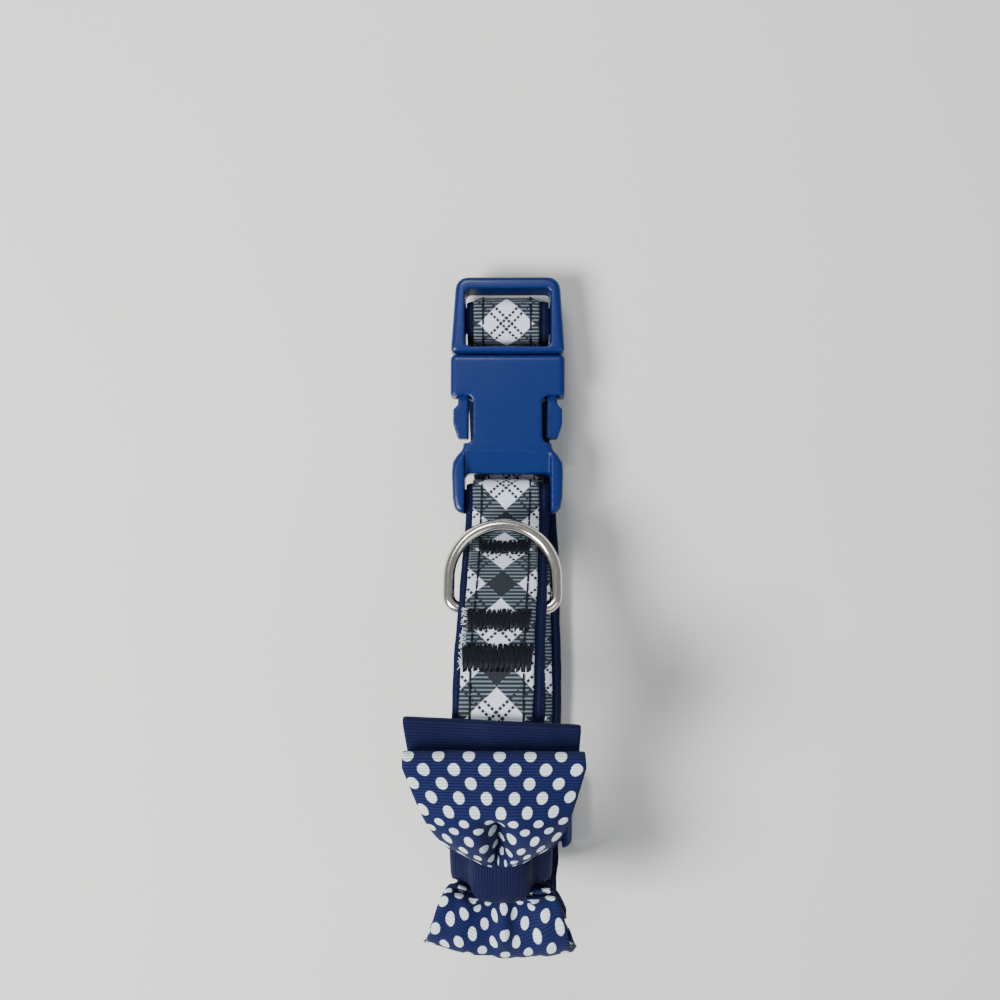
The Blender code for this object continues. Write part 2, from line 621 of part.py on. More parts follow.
def bow_loop(name, face, far, near, loft, puff, valley, base, finish, parent):
    """One closed ribbon loop with two lobes, pinched at the knot."""
    columns, steps = 9, 9          # points across the ribbon, steps along a lobe
    edge = KNOT_BAND / 2 + GAP
    lobes = []
    for end, way in ((far, 1.0), (near, -1.0)):
        radius = loft / 2
        run = end - radius
        flat = [edge + (run - edge) * i / steps for i in range(steps + 1)]
        turn = [(way * (run + radius * sin(pi * i / 4)), radius - radius * cos(pi * i / 4))
                for i in range(1, 4)]
        lobes.append([(way * along, 0.0) for along in flat] + turn
                     + [(way * along, None) for along in reversed(flat)])
    loop = [(0.0, 0.0)] + lobes[0] + [(0.0, None)] + lobes[1][::-1]
    rows = []
    for along, height in loop:
        end = far if along > 0 else near
        flare = max(0.0, abs(along) - edge) / (end - edge)
        width = GATHER_WIDTH + (BOW_RIBBON - GATHER_WIDTH) * sin(pi / 2 * min(1.0, flare * 1.15))
        local = max(0.0, abs(along) - KNOT_BAND / 2) / (end - loft / 2 - KNOT_BAND / 2)
        row = []
        for j in range(columns):
            side = j / (columns - 1) * 2 - 1
            if height is None:
                lift = upper_height(local, loft, puff)
                lift -= valley * sin(pi * min(1.0, local)) ** 2 * max(0.0, 1.0 - (side / 0.45) ** 2)
            else:
                lift = height
            row.append((side * width / 2, along, base(along) + lift))
        rows.append(row)
    rings = []
    count = len(rows)
    for i, row in enumerate(rows):
        before, after = rows[i - 1], rows[(i + 1) % count]
        inside, outside = [], []
        for j, (x, a, h) in enumerate(row):
            da, dh = after[j][1] - before[j][1], after[j][2] - before[j][2]
            long = hypot(da, dh)
            na, nh = dh / long * BOW_CLOTH / 2, -da / long * BOW_CLOTH / 2
            outside.append(face.point(x, a + na, h + nh))
            inside.append(face.point(x, a - na, h - nh))
        rings.append(outside + inside[::-1])
    return add_object(name, hull_of_rings(rings, True), finish, parent)


def bow_knot(face, finish, parent):
    """Closed band round the bow's gathers and the strap."""
    top = plain_top(0.0) + GAP + BOW_CLOTH + PINCH + GAP
    low, side, narrow = -STRAP_THICK - GAP, WEB_WIDTH / 2 + GAP, GATHER_WIDTH / 2 + GAP
    inner = [(narrow, top), (side, GAP), (side, low), (-side, low), (-side, GAP), (-narrow, top)]
    wall, cut = KNOT_WALL, KNOT_WALL * 0.4
    outer = [(narrow + cut, top + wall), (side + wall, GAP), (side + cut, low - wall),
             (-side - cut, low - wall), (-side - wall, GAP), (-narrow - cut, top + wall)]
    mesh = bmesh.new()
    loops = []
    for along in (-KNOT_BAND / 2, 0.0, KNOT_BAND / 2):
        loops.append([[mesh.verts.new(face.point(x, along, h)) for x, h in ring] for ring in (outer, inner)])
    for i in range(6):
        j = (i + 1) % 6
        for (out_a, in_a), (out_b, in_b) in zip(loops, loops[1:]):
            mesh.faces.new((out_a[i], out_a[j], out_b[j], out_b[i]))
            mesh.faces.new((in_a[i], in_b[i], in_b[j], in_a[j]))
        for out_row, in_row in (loops[0], loops[-1]):
            mesh.faces.new((out_row[i], in_row[i], in_row[j], out_row[j]))
    return add_object("bow_knot", mesh, finish, parent)


# ---- the whole collar -----------------------------------------------------------------------

def build():
    """Builds every piece under one empty that stands the part on its bottom centre."""
    for thing in list(bpy.data.objects):
        bpy.data.objects.remove(thing, do_unlink=True)
    navy = material("navy_webbing", (0.010, 0.016, 0.070), 0.75)
    plaid = material("plaid_ribbon", (0.30, 0.34, 0.40), 0.70)
    blue = material("blue_plastic", (0.004, 0.036, 0.175), 0.32)
    nickel = material("nickel", (0.62, 0.61, 0.58), 0.22, 1.0)
    dotted = material("dotted_grosgrain", (0.022, 0.034, 0.165), 0.72)
    plain = material("plain_grosgrain", (0.008, 0.014, 0.100), 0.72)

    root = bpy.data.objects.new("collar", None)
    bpy.context.collection.objects.link(root)
    buckle_seat = bpy.data.objects.new("buckle_seat", None)
    bpy.context.collection.objects.link(buckle_seat)
    buckle_seat.parent = root
    buckle_seat.location = (0.0, 0.0, BUCKLE_LIFT)
    buckle_seat.rotation_euler = (-BUCKLE_TILT, 0.0, 0.0)

    path, covered = strap_path()
    face = StrapFace()
    pieces = [
        add_object("webbing", strip(path, WEB_WIDTH, 0.0, WEB_THICK), navy, root),
        add_object("plaid_ribbon", strip(path[:covered], RIBBON_WIDTH, WEB_THICK + GAP, STRAP_THICK),
                   plaid, root),
        buckle_female(blue, buckle_seat),
        buckle_male(blue, buckle_seat),
        strap_slider(blue, root),
        d_ring(nickel, root),
        bow_loop("bow_plain", face, PLAIN_FAR, PLAIN_NEAR, PLAIN_LOFT, 0.0, 0.0,
                 lambda along: GAP + BOW_CLOTH / 2, plain, root),
        bow_loop("bow_dotted", face, DOTTED_FAR, DOTTED_NEAR, DOTTED_LOFT, DOTTED_PUFF, DOTTED_VALLEY,
                 lambda along: plain_top(along) + GAP + BOW_CLOTH / 2, dotted, root),
        bow_knot(face, plain, root),
    ]

    bpy.context.view_layer.update()
    graph = bpy.context.evaluated_depsgraph_get()
    corners = []
    for piece in pieces:
        shape = piece.evaluated_get(graph)
        mesh = shape.to_mesh()
        corners += [shape.matrix_world @ vert.co for vert in mesh.vertices]
        shape.to_mesh_clear()
    low = [min(corner[k] for corner in corners) for k in range(3)]
    high = [max(corner[k] for corner in corners) for k in range(3)]
    root.location = (-(low[0] + high[0]) / 2, -(low[1] + high[1]) / 2, -low[2])
    bpy.context.view_layer.update()


build()
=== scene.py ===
"""Dressed model of a buckled dog collar with a bow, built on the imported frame.

Metres, +Z up, +Y toward the buckle's outer end. The strap's side profile is worked out again from
the collar's own sizes, so that cloth, stitches and bow follow the solids that they stand for.
"""
from __future__ import annotations

import logging
import random
from bisect import bisect_right
from dataclasses import dataclass
from enum import Enum
from math import atan2, cos, dist, exp, hypot, pi, radians, sin, sqrt
from typing import Callable, Iterable, Sequence

import bmesh
import bpy
from mathutils import Matrix, Vector


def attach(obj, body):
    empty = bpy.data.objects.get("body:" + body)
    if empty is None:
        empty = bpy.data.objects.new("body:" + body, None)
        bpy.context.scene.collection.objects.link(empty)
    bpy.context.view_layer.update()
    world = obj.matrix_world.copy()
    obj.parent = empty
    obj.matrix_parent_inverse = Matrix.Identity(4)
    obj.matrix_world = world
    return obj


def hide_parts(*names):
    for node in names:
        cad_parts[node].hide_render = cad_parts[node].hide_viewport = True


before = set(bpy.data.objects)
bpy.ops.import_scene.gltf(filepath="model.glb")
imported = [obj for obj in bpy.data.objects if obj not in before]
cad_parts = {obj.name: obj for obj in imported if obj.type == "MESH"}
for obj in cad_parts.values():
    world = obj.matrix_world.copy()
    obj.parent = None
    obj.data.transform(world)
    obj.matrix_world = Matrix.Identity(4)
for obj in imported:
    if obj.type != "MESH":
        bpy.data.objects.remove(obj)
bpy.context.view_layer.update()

LOG = logging.getLogger("collar")
MM = 0.001
PINCH = 1.3 * MM
Point2 = tuple[float, float]
Point3 = tuple[float, float, float]
Color = tuple[float, float, float, float]
Socket = bpy.types.NodeSocket
# Where the profile's origin, the joint between the buckle's halves, lies in the frame (x, y).
SHIFT: Point2 = (1.547 * MM, 58.454 * MM)


def ease(value: float) -> float:
    """Smooth step from 0 at 0 to 1 at 1.

    Args:
        value: any number; it is held between 0 and 1.

    Returns:
        The eased value.
    """
    value = min(1.0, max(0.0, value))
    return value * value * (3.0 - 2.0 * value)


def bell(value: float, width: float) -> float:
    """A bell curve of the given half width that peaks at 1."""
    return exp(-(value / width) ** 2)


def normals_of(line: Sequence[Point2]) -> list[Point2]:
    """Unit normals of a line, to the right of its direction.

    Args:
        line: points (y, z).

    Returns:
        The normal at each point.
    """
    normals, last = [], len(line) - 1
    for i in range(len(line)):
        (y0, z0), (y1, z1) = line[max(0, i - 1)], line[min(last, i + 1)]
        long = hypot(y1 - y0, z1 - z0) or 1.0
        normals.append(((z1 - z0) / long, -(y1 - y0) / long))
    return normals


def lengths_of(line: Sequence[Point2]) -> list[float]:
    """Length along a line to each of its points.

    Args:
        line: points (y, z).

    Returns:
        The lengths, from 0.
    """
    lengths = [0.0]
    for a, b in zip(line, line[1:]):
        lengths.append(lengths[-1] + dist(a, b))
    return lengths


def locate(lengths: Sequence[float], long: float) -> tuple[int, float]:
    """Finds the stretch of a line that a length falls in.

    Args:
        lengths: length along the line to each of its points.
        long: the length to find.

    Returns:
        The point that the stretch starts at, and the share of the stretch that is passed.
    """
    low = min(max(bisect_right(lengths, long) - 1, 0), len(lengths) - 2)
    return low, (long - lengths[low]) / max(1e-9, lengths[low + 1] - lengths[low])


def offset_line(line: Sequence[Point2], distance: float) -> list[Point2]:
    """Moves each point of a line outward, along its normal."""
    return [(y + ny * distance, z + nz * distance) for (y, z), (ny, nz) in zip(line, normals_of(line))]


@dataclass(frozen=True)
class StrapProfile:
    """The strap's side profile: the webbing's inner face from the sewn tail to the slider.

    bulge holds (share of reach, share of rise) and the drifts hold (share of reach, sideways offset).
    """

    reach: float = 132.5 * MM
    rise: float = 47.8 * MM
    thick: float = 2.5 * MM
    layer: float = 1.2 * MM
    gap: float = 0.3 * MM
    tilt: float = radians(8.0)
    lift: float = 6.3 * MM
    female: float = 38.8 * MM
    female_bar: float = 5.9 * MM
    bar_thick: float = 2.2 * MM
    bar_under: float = 2.0 * MM
    bridge: float = 1.7 * MM
    male_slot: float = 3.95 * MM
    male_bar: float = 6.2 * MM
    slider_at: float = 118.0 * MM
    slider_length: float = 17.6 * MM
    slider_end_bar: float = 2.7 * MM
    slider_end_thick: float = 1.6 * MM
    slider_mid_bar: float = 3.0 * MM
    slider_mid_thick: float = 1.9 * MM
    fold: float = 14.0 * MM
    step_down: float = 3.5 * MM
    fold_slack: float = 1.3
    fold_tuck: float = 0.3
    ring_at: float = 56.0 * MM
    tack_at: float = 46.3 * MM
    tail_at: float = 69.0 * MM
    ring_wire: float = 2.8 * MM
    ring_over: float = 0.6 * MM
    ring_under: float = 0.35 * MM
    weave_bend: float = 3.4 * MM
    weave_slope: float = radians(30.0)
    soft_bend: float = 1.2 * MM
    bar_clear: float = 0.75 * MM
    lower_start: float = 0.75
    dive: float = radians(150.0)
    step: float = 1.1 * MM
    least_step: float = 0.12 * MM
    least_turn: float = 0.02
    arc_step: float = radians(9.0)
    bulge: tuple[Point2, ...] = ((0.389, 0.610), (0.548, 0.915), (0.706, 1.000), (0.845, 0.912),
                                 (0.950, 0.690), (1.000, 0.400), (0.987, 0.210))
    upper_drift: tuple[Point2, ...] = (
        (0.0, 0.0), (0.24, 0.0), (0.60, -1.9 * MM), (0.78, -1.2 * MM), (0.90, -1.2 * MM), (1.0, 2.4 * MM))
    lower_drift: tuple[Point2, ...] = (
        (0.05, 0.0), (0.45, 3.3 * MM), (0.66, 3.9 * MM), (0.80, 3.3 * MM), (0.965, 3.3 * MM),
        (1.0, 2.4 * MM))

    @property
    def wrap(self) -> float:
        """Radius of the webbing's inner face round a bar's edge."""
        return self.bar_thick / 2 + self.gap

    @property
    def bar_middle(self) -> float:
        """Height of the buckle bars' middle above the buckle's underside."""
        return self.bar_under + self.bar_thick / 2

    @property
    def slider_over(self) -> float:
        """Level distance from the slider's middle to the middle of an end bar."""
        return self.slider_length / 2 - self.slider_end_bar / 2

    @property
    def slider_high(self) -> float:
        """Height of the webbing's inner face over an end bar."""
        return self.slider_end_thick + self.gap + self.thick

    @property
    def slider_flat(self) -> float:
        """Half the level run over an end bar."""
        return self.slider_end_bar / 2 + self.bar_clear

    @property
    def slider_run(self) -> float:
        """Level length of the slope beside an end bar."""
        return (self.slider_high - self.thick) / sin(self.weave_slope) * cos(self.weave_slope)

    def seat(self, y: float, z: float) -> Point2:
        """World (y, z) of a point of the buckle's own frame."""
        tilt_cos, tilt_sin = cos(self.tilt), sin(self.tilt)
        return (y * tilt_cos + z * tilt_sin, self.lift - y * tilt_sin + z * tilt_cos)

    def arc(self, centre: Point2, radius: float, start: float, end: float) -> list[Point2]:
        """Rounds an arc.

        Args:
            centre: its middle (y, z).
            radius: its radius.
            start: angle of its first point.
            end: angle of its last point.

        Returns:
            Points along it.
        """
        count = max(2, int(abs(end - start) / self.arc_step + 0.999))
        angles = [start + (end - start) * i / count for i in range(count + 1)]
        return [(centre[0] + radius * cos(angle), centre[1] + radius * sin(angle)) for angle in angles]

    def bend(self, corners: Sequence[Point3]) -> list[Point2]:
        """Rounds a line of corners.

        Args:
            corners: points (y, z, radius).

        Returns:
            The rounded line.
        """
        points: list[Point2] = [corners[0][:2]]
        for (y0, z0, _), (y1, z1, radius), (y2, z2, _) in zip(corners, corners[1:], corners[2:]):
            into = Vector((y1 - y0, z1 - z0)).normalized()
            out = Vector((y2 - y1, z2 - z1)).normalized()
            turn = atan2(into.x * out.y - into.y * out.x, into.dot(out))
            if radius <= 0.0 or abs(turn) < self.least_turn:
                points.append((y1, z1))
                continue
            side = 1.0 if turn > 0 else -1.0
            tangent = radius * abs(sin(turn / 2) / cos(turn / 2))
            centre = (y1 - into.x * tangent - side * into.y * radius,
                      z1 - into.y * tangent + side * into.x * radius)
            begin = atan2(-side * into.x, side * into.y)
            points += self.arc(centre, radius, begin, begin + turn)
        points.append(corners[-1][:2])
        return points

    @staticmethod
    def smooth(points: Sequence[Point2], into: Point2, out: Point2, step: float) -> list[Point2]:
        """A smooth curve through points with given end directions.

        Args:
            points: points (y, z) on the curve.
            into: direction at the first point.
            out: direction at the last point.
            step: distance between the curve's stations.

        Returns:
            The curve's stations.
        """
        chords = [dist(a, b) for a, b in zip(points, points[1:])]
        slopes: list[Point2] = [into]
        for i in range(1, len(points) - 1):
            before, after = chords[i - 1], chords[i]
            slopes.append(tuple(((points[i][k] - points[i - 1][k]) * after / before
                                 + (points[i + 1][k] - points[i][k]) * before / after)
                                / (before + after) for k in (0, 1)))
        slopes.append(out)
        curve = [points[0]]
        for i, chord in enumerate(chords):
            count = max(2, round(chord / step))
            for j in range(1, count + 1):
                t = j / count
                h = (2 * t ** 3 - 3 * t ** 2 + 1, t ** 3 - 2 * t ** 2 + t,
                     3 * t ** 2 - 2 * t ** 3, t ** 3 - t ** 2)
                curve.append(tuple(h[0] * points[i][k] + h[1] * chord * slopes[i][k]
                                   + h[2] * points[i + 1][k] + h[3] * chord * slopes[i + 1][k]
                                   for k in (0, 1)))
        return curve

    def joined(self, *lines: Sequence[Point2]) -> list[Point2]:
        """Puts lines end to end, without doubled points and with stations along long runs.

        Args:
            lines: the lines, in order.

        Returns:
            The one line.
        """
        points: list[Point2] = []
        for point in (point for line in lines for point in line):
            if points:
                last = points[-1]
                long = dist(point, last)
                if long < self.least_step:
                    continue
                count = int(long / (2.0 * self.step))
                points += [tuple(last[k] + (point[k] - last[k]) * (i + 1) / (count + 1) for k in (0, 1))
                           for i in range(count)]
            points.append(point)
        return points

    def top_line(self) -> list[Point2]:
        """Line from the female bar up the slope, over the bulge and down to the slider.

        Returns:
            The line's stations.
        """
        height, edge = self.bar_middle + self.wrap, self.female - self.bar_thick / 2
        first = self.seat(-(edge - self.female_bar + self.bar_thick), height)
        start = self.seat(-edge, height)
        end = (-(self.slider_at + self.slider_over), self.slider_high)
        points = [start] + [(-share * self.reach, rise * self.rise) for share, rise in self.bulge] + [end]
        return [first] + self.smooth(points, (-cos(self.tilt), sin(self.tilt)), (1.0, 0.0), self.step)

    @staticmethod
    def length_at(line: Sequence[Point2], reach: float) -> float:
        """Length along a line to where it first passes a level distance.

        Args:
            line: points (y, z), which start toward -Y.
            reach: the level distance from the profile's origin.

        Returns:
            The length.
        """
        long = 0.0
        for a, b in zip(line, line[1:]):
            step = dist(a, b)
            if -b[0] >= reach:
                return long + step * (reach + a[0]) / (a[0] - b[0])
            long += step
        return long

    def tail_line(self, top: Sequence[Point2]) -> list[Point2]:
        """Inner face of the sewn tail: closed at the tacks, open round the D-ring's bar.

        Args:
            top: the line of the strap above it.

        Returns:
            The tail's line, from its end to the female bar.
        """
        tunnel = self.ring_over + self.ring_wire + self.ring_under
        ring, tack, end = (self.length_at(top, at) for at in (self.ring_at, self.tack_at, self.tail_at))
        half, flat, bar = ring - tack, self.ring_wire / 3, self.female_bar
        points = []
        for (y, z), (ny, nz), long in zip(top, normals_of(top), lengths_of(top)):
            if long > end:
                break
            by_bar = 1.0 - ease((long - bar) / (tack - bar))
            by_ring = 1.0 - ease((abs(long - ring) - flat) / (half - flat))
            gap = self.gap + (2 * self.wrap - self.gap) * by_bar + (tunnel - self.gap) * by_ring
            points.append((y - ny * gap, z - nz * gap))
        return points[::-1]

    def weave_line(self) -> list[Point2]:
        """Line through the slider, over its end bars and under its centre bar.

        Returns:
            The line's points.
        """
        at, over, high, low = -self.slider_at, self.slider_over, self.slider_high, self.thick
        flat, run, soft, hard = self.slider_flat, self.slider_run, self.soft_bend, self.weave_bend
        return self.bend([(at - over, high, 0.0), (at - over + flat, high, hard),
                          (at - over + flat + run, low, soft), (at + over - flat - run, low, soft),
                          (at + over - flat, high, hard), (at + over + flat, high, hard),
                          (at + over + flat + run, low, soft), (at * self.lower_start, low, 0.0)])

    def male_line(self) -> list[Point2]:
        """Line up through the male half's outer slot, over its bar and down its inner slot.

        Returns:
            The line's points.
        """
        start, up, hard = self.bridge + self.male_slot, pi / 2 - self.tilt, self.weave_bend
        outer = self.seat(start + self.male_bar - self.bar_thick / 2, self.bar_middle)
        inner = self.seat(start + self.bar_thick / 2, self.bar_middle)
        rise = self.bend([(outer[0] - hard * 3, self.thick, 0.0),
                          (outer[0] + self.wrap, self.thick, self.layer * 2),
                          (outer[0] + self.wrap, outer[1], 0.0)])
        over = self.joined(self.arc(outer, self.wrap, 0.0, up), self.arc(inner, self.wrap, up, self.dive))
        last, level = over[-1], self.thick + self.gap
        foot = last[0] - (last[1] - level) / sin(self.dive - pi / 2) * cos(self.dive - pi / 2)
        fall = self.bend([last + (0.0,), (foot, level, hard), (foot - hard * 2, level, 0.0)])
        return self.joined(rise, over, fall)

    def fold_line(self) -> list[Point2]:
        """The inner layer's sewn end round the slider's centre bar.

        Returns:
            The line's points.
        """
        layer, low = self.layer + self.gap, self.thick + self.gap
        high, back_high = self.slider_high + self.gap + layer, self.slider_high + layer
        middle, wrap = low + layer + self.slider_mid_thick / 2, self.slider_mid_thick / 2 + self.gap
        top, over = max(high, middle + wrap), self.slider_over
        flat, run, soft, hard = self.slider_flat, self.slider_run, self.soft_bend, self.weave_bend
        at, step, slack = -self.slider_at, self.step_down, self.fold_slack
        end, bar = at + self.fold, at - self.slider_mid_bar / 2 + self.slider_mid_thick / 2
        above = self.bend([(end + step * (1.0 + slack), low, 0.0), (end + step * slack, low, hard),
                           (end + step * self.fold_tuck, low + layer, soft),
                           (at + over + flat + run, low + layer, soft),
                           (at + over + flat, top, hard), (bar, middle + wrap, 0.0)])
        back = self.bend([(bar, middle - wrap, 0.0), (at + over - flat - run, low + self.layer, soft),
                          (at + over - flat, back_high, hard), (at + over + flat, back_high, hard),
                          (at + over + flat + run, low + self.layer, soft), (end, low + self.layer, 0.0)])
        return self.joined(above, self.arc((bar, middle), wrap, pi / 2, 3 * pi / 2), back)

    def drift(self, y: float, upper: bool) -> float:
        """Sideways offset of the strap's middle at a level distance.

        Args:
            y: place along the collar.
            upper: whether it is on the upper half of the strap.

        Returns:
            The offset toward +X.
        """
        table, share = (self.upper_drift if upper else self.lower_drift), -y / self.reach
        if share <= table[0][0]:
            return table[0][1]
        for (s0, x0), (s1, x1) in zip(table, table[1:]):
            if share <= s1:
                return x0 + (x1 - x0) * ease((share - s0) / (s1 - s0))
        return table[-1][1]

    def path(self) -> tuple[list[Point3], int]:
        """The whole reference line.

        Returns:
            Its points (x, y, z), and how many of them the ribbon covers.
        """
        top = self.top_line()
        bar = self.seat(-(self.female - self.female_bar + self.bar_thick / 2), self.bar_middle)
        up = pi / 2 - self.tilt
        near = min(range(len(top)), key=lambda i: top[i][0])
        upper = self.joined(self.tail_line(top), self.arc(bar, self.wrap, up - pi, up), top[:near + 1])
        fold = self.fold_line()
        covered = self.joined(upper, top[near + 1:], self.weave_line(), self.male_line(), fold[:1])
        line = self.joined(covered, fold)
        return [(self.drift(y, i < len(upper)), y, z) for i, (y, z) in enumerate(line)], len(covered)


def linear(*channels: float) -> Color:
    """Turns a display colour (0 to 255) into the linear colour that shaders take.

    Args:
        channels: red, green and blue.

    Returns:
        The opaque colour.
    """
    parts = [channel / 255.0 for channel in channels]
    return tuple(part / 12.92 if part <= 0.04045 else ((part + 0.055) / 1.055) ** 2.4
                 for part in parts) + (1.0,)


class Axis(Enum):
    """Which direction of a cloth's map a pattern runs along, in millimetres."""

    ALONG = 0
    ACROSS = 1


class Bench:
    """Node bench for one material: every call adds a node and gives back its output."""

    def __init__(self, name: str) -> None:
        """Starts a material with a Principled shader.

        Args:
            name: the material's name.
        """
        self.material = bpy.data.materials.new(name)
        self.material.use_nodes = True
        self.nodes = self.material.node_tree.nodes
        self.links = self.material.node_tree.links
        self.shader = self.nodes["Principled BSDF"]
        self.map: Socket | None = None
        self.split: bpy.types.Node | None = None

    def feed(self, socket: Socket, value: object) -> None:
        """Links a socket to an output, or gives it a value.

        Args:
            socket: the socket to feed.
            value: an output, a number or a colour.
        """
        if isinstance(value, Socket):
            self.links.new(value, socket)
        else:
            socket.default_value = value

    def dress(self, **values: object) -> bpy.types.Material:
        """Feeds the shader and ends the material.

        Args:
            values: what each of the shader's sockets takes, with _ for the spaces in its name.

        Returns:
            The material.
        """
        for name, value in values.items():
            self.feed(self.shader.inputs[name.replace("_", " ")], value)
        return self.material

    def math(self, kind: str, *values: object) -> Socket:
        """A Math node.

        Args:
            kind: its operation.
            values: one to three outputs or numbers.

        Returns:
            Its result.
        """
        node = self.nodes.new("ShaderNodeMath")
        node.operation = kind
        for socket, value in zip(node.inputs, values):
            self.feed(socket, value)
        return node.outputs[0]

    def times(self, first: object, second: object) -> Socket:
        """A product of two numbers."""
        return self.math("MULTIPLY", first, second)

    def scaled(self, value: object, by: object, plus: object) -> Socket:
        """A number scaled by another, plus a third."""
        return self.math("MULTIPLY_ADD", value, by, plus)

    def place(self) -> Socket:
        """The object's own coordinates."""
        return self.nodes.new("ShaderNodeTexCoord").outputs["Object"]

    def cloth_map(self) -> Socket:
        """The cloth's map as a vector, in millimetres.

        Returns:
            The output of the material's one map node.
        """
        if self.map is None:
            node = self.nodes.new("ShaderNodeUVMap")
            node.uv_map = "cloth"
            self.map = node.outputs[0]
        return self.map

    def cloth(self, axis: Axis) -> Socket:
        """Millimetres along or across the cloth.

        Args:
            axis: which of the two.

        Returns:
            The part of the map.
        """
        if self.split is None:
            self.split = self.nodes.new("ShaderNodeSeparateXYZ")
            self.links.new(self.cloth_map(), self.split.inputs[0])
        return self.split.outputs[axis.value]

    def noise(self, vector: Socket, scale: float, detail: float) -> Socket:
        """Noise between 0 and 1.

        Args:
            vector: where it is read.
            scale: its scale.
            detail: its levels of detail.

        Returns:
            The noise.
        """
        node = self.nodes.new("ShaderNodeTexNoise")
        for name, value in (("Scale", scale), ("Detail", detail), ("Vector", vector)):
            self.feed(node.inputs[name], value)
        return node.outputs["Fac"]

    def mix(self, share: object, low: object, high: object, blend: str = "MIX") -> Socket:
        """Mixes two colours.

        Args:
            share: 0 for the low colour, 1 for the blend with the high one.
            low: an output or a colour.
            high: an output or a colour.
            blend: how they are blended.

        Returns:
            The mixed colour.
        """
        node = self.nodes.new("ShaderNodeMix")
        node.data_type, node.blend_type = "RGBA", blend
        color_sockets = [socket for socket in node.inputs if socket.type == "RGBA"]
        for socket, value in zip((node.inputs[0], *color_sockets), (share, low, high)):
            self.feed(socket, value)
        return next(socket for socket in node.outputs if socket.type == "RGBA")

    def bump(self, height: Socket, distance: float, strength: float) -> Socket:
        """A bump of a height map.

        Args:
            height: the map.
            distance: the height of 1 in the map, in metres.
            strength: how much of it shows.

        Returns:
            The normal.
        """
        node = self.nodes.new("ShaderNodeBump")
        for name, value in (("Distance", distance), ("Strength", strength), ("Height", height)):
            self.feed(node.inputs[name], value)
        return node.outputs[0]

    def ribs(self, axis: Axis, pitch: float) -> Socket:
        """Round ribs from 0 to 1, one for each pitch in millimetres."""
        turn = self.times(self.cloth(axis), pi / pitch)
        return self.math("ABSOLUTE", self.math("SINE", turn))

    def near(self, value: Socket, half: float, soft: float) -> Socket:
        """1 where a value is near 0, fading out over a soft edge.

        Args:
            value: the value.
            half: how far from 0 the edge lies.
            soft: width of the edge.

        Returns:
            A number between 0 and 1.
        """
        edge = self.math("SUBTRACT", half, self.math("ABSOLUTE", value))
        shown = self.scaled(edge, 1.0 / soft, 0.5)
        shown.node.use_clamp = True
        return shown

    def wrap(self, value: Socket, period: float, shift: float = 0.0) -> Socket:
        """A value folded into plus or minus half a period round the pattern's centre."""
        moved = self.math("ADD", value, shift + period / 2)
        return self.math("SUBTRACT", self.math("FLOORED_MODULO", moved, period), period / 2)


@dataclass(frozen=True)
class WebbingFinish:
    """Navy nylon webbing of twisted cords."""

    # color is the cords' lit navy; shade is the same navy with painted shade, mixed in by the weave's
    # height.
    color: Color = linear(4, 17, 66)
    shade: Color = linear(1, 5, 30)
    cord: float = 0.95
    pick: float = 1.5

    def make(self) -> bpy.types.Material:
        """Builds the material.

        Returns:
            The material.
        """
        bench = Bench("navy_webbing")
        column = bench.math("FLOOR", bench.times(bench.cloth(Axis.ACROSS), 1.0 / self.cord))
        phase = bench.math("ADD", bench.times(bench.cloth(Axis.ALONG), 1.0 / self.pick),
                           bench.times(column, 0.5))
        float_up = bench.scaled(bench.math("SINE", bench.times(phase, 2 * pi)), 0.5, 0.5)
        height = bench.times(bench.ribs(Axis.ACROSS, self.cord), bench.scaled(float_up, 0.6, 0.4))
        fuzz = bench.noise(bench.cloth_map(), scale=6.0, detail=5.0)
        # Painted shade: the grooves between the cords lean to the shade colour and the raised cords to the
        # lit colour. The fuzz adds random tone.
        lit = bench.scaled(fuzz, 0.5, bench.times(height, 0.6))
        return bench.dress(
            Base_Color=bench.mix(lit, self.shade, self.color), Roughness=0.72, Sheen_Weight=0.05,
            Specular_IOR_Level=0.15,
            Normal=bench.bump(bench.scaled(fuzz, 0.15, height), distance=0.28 * MM, strength=0.9))


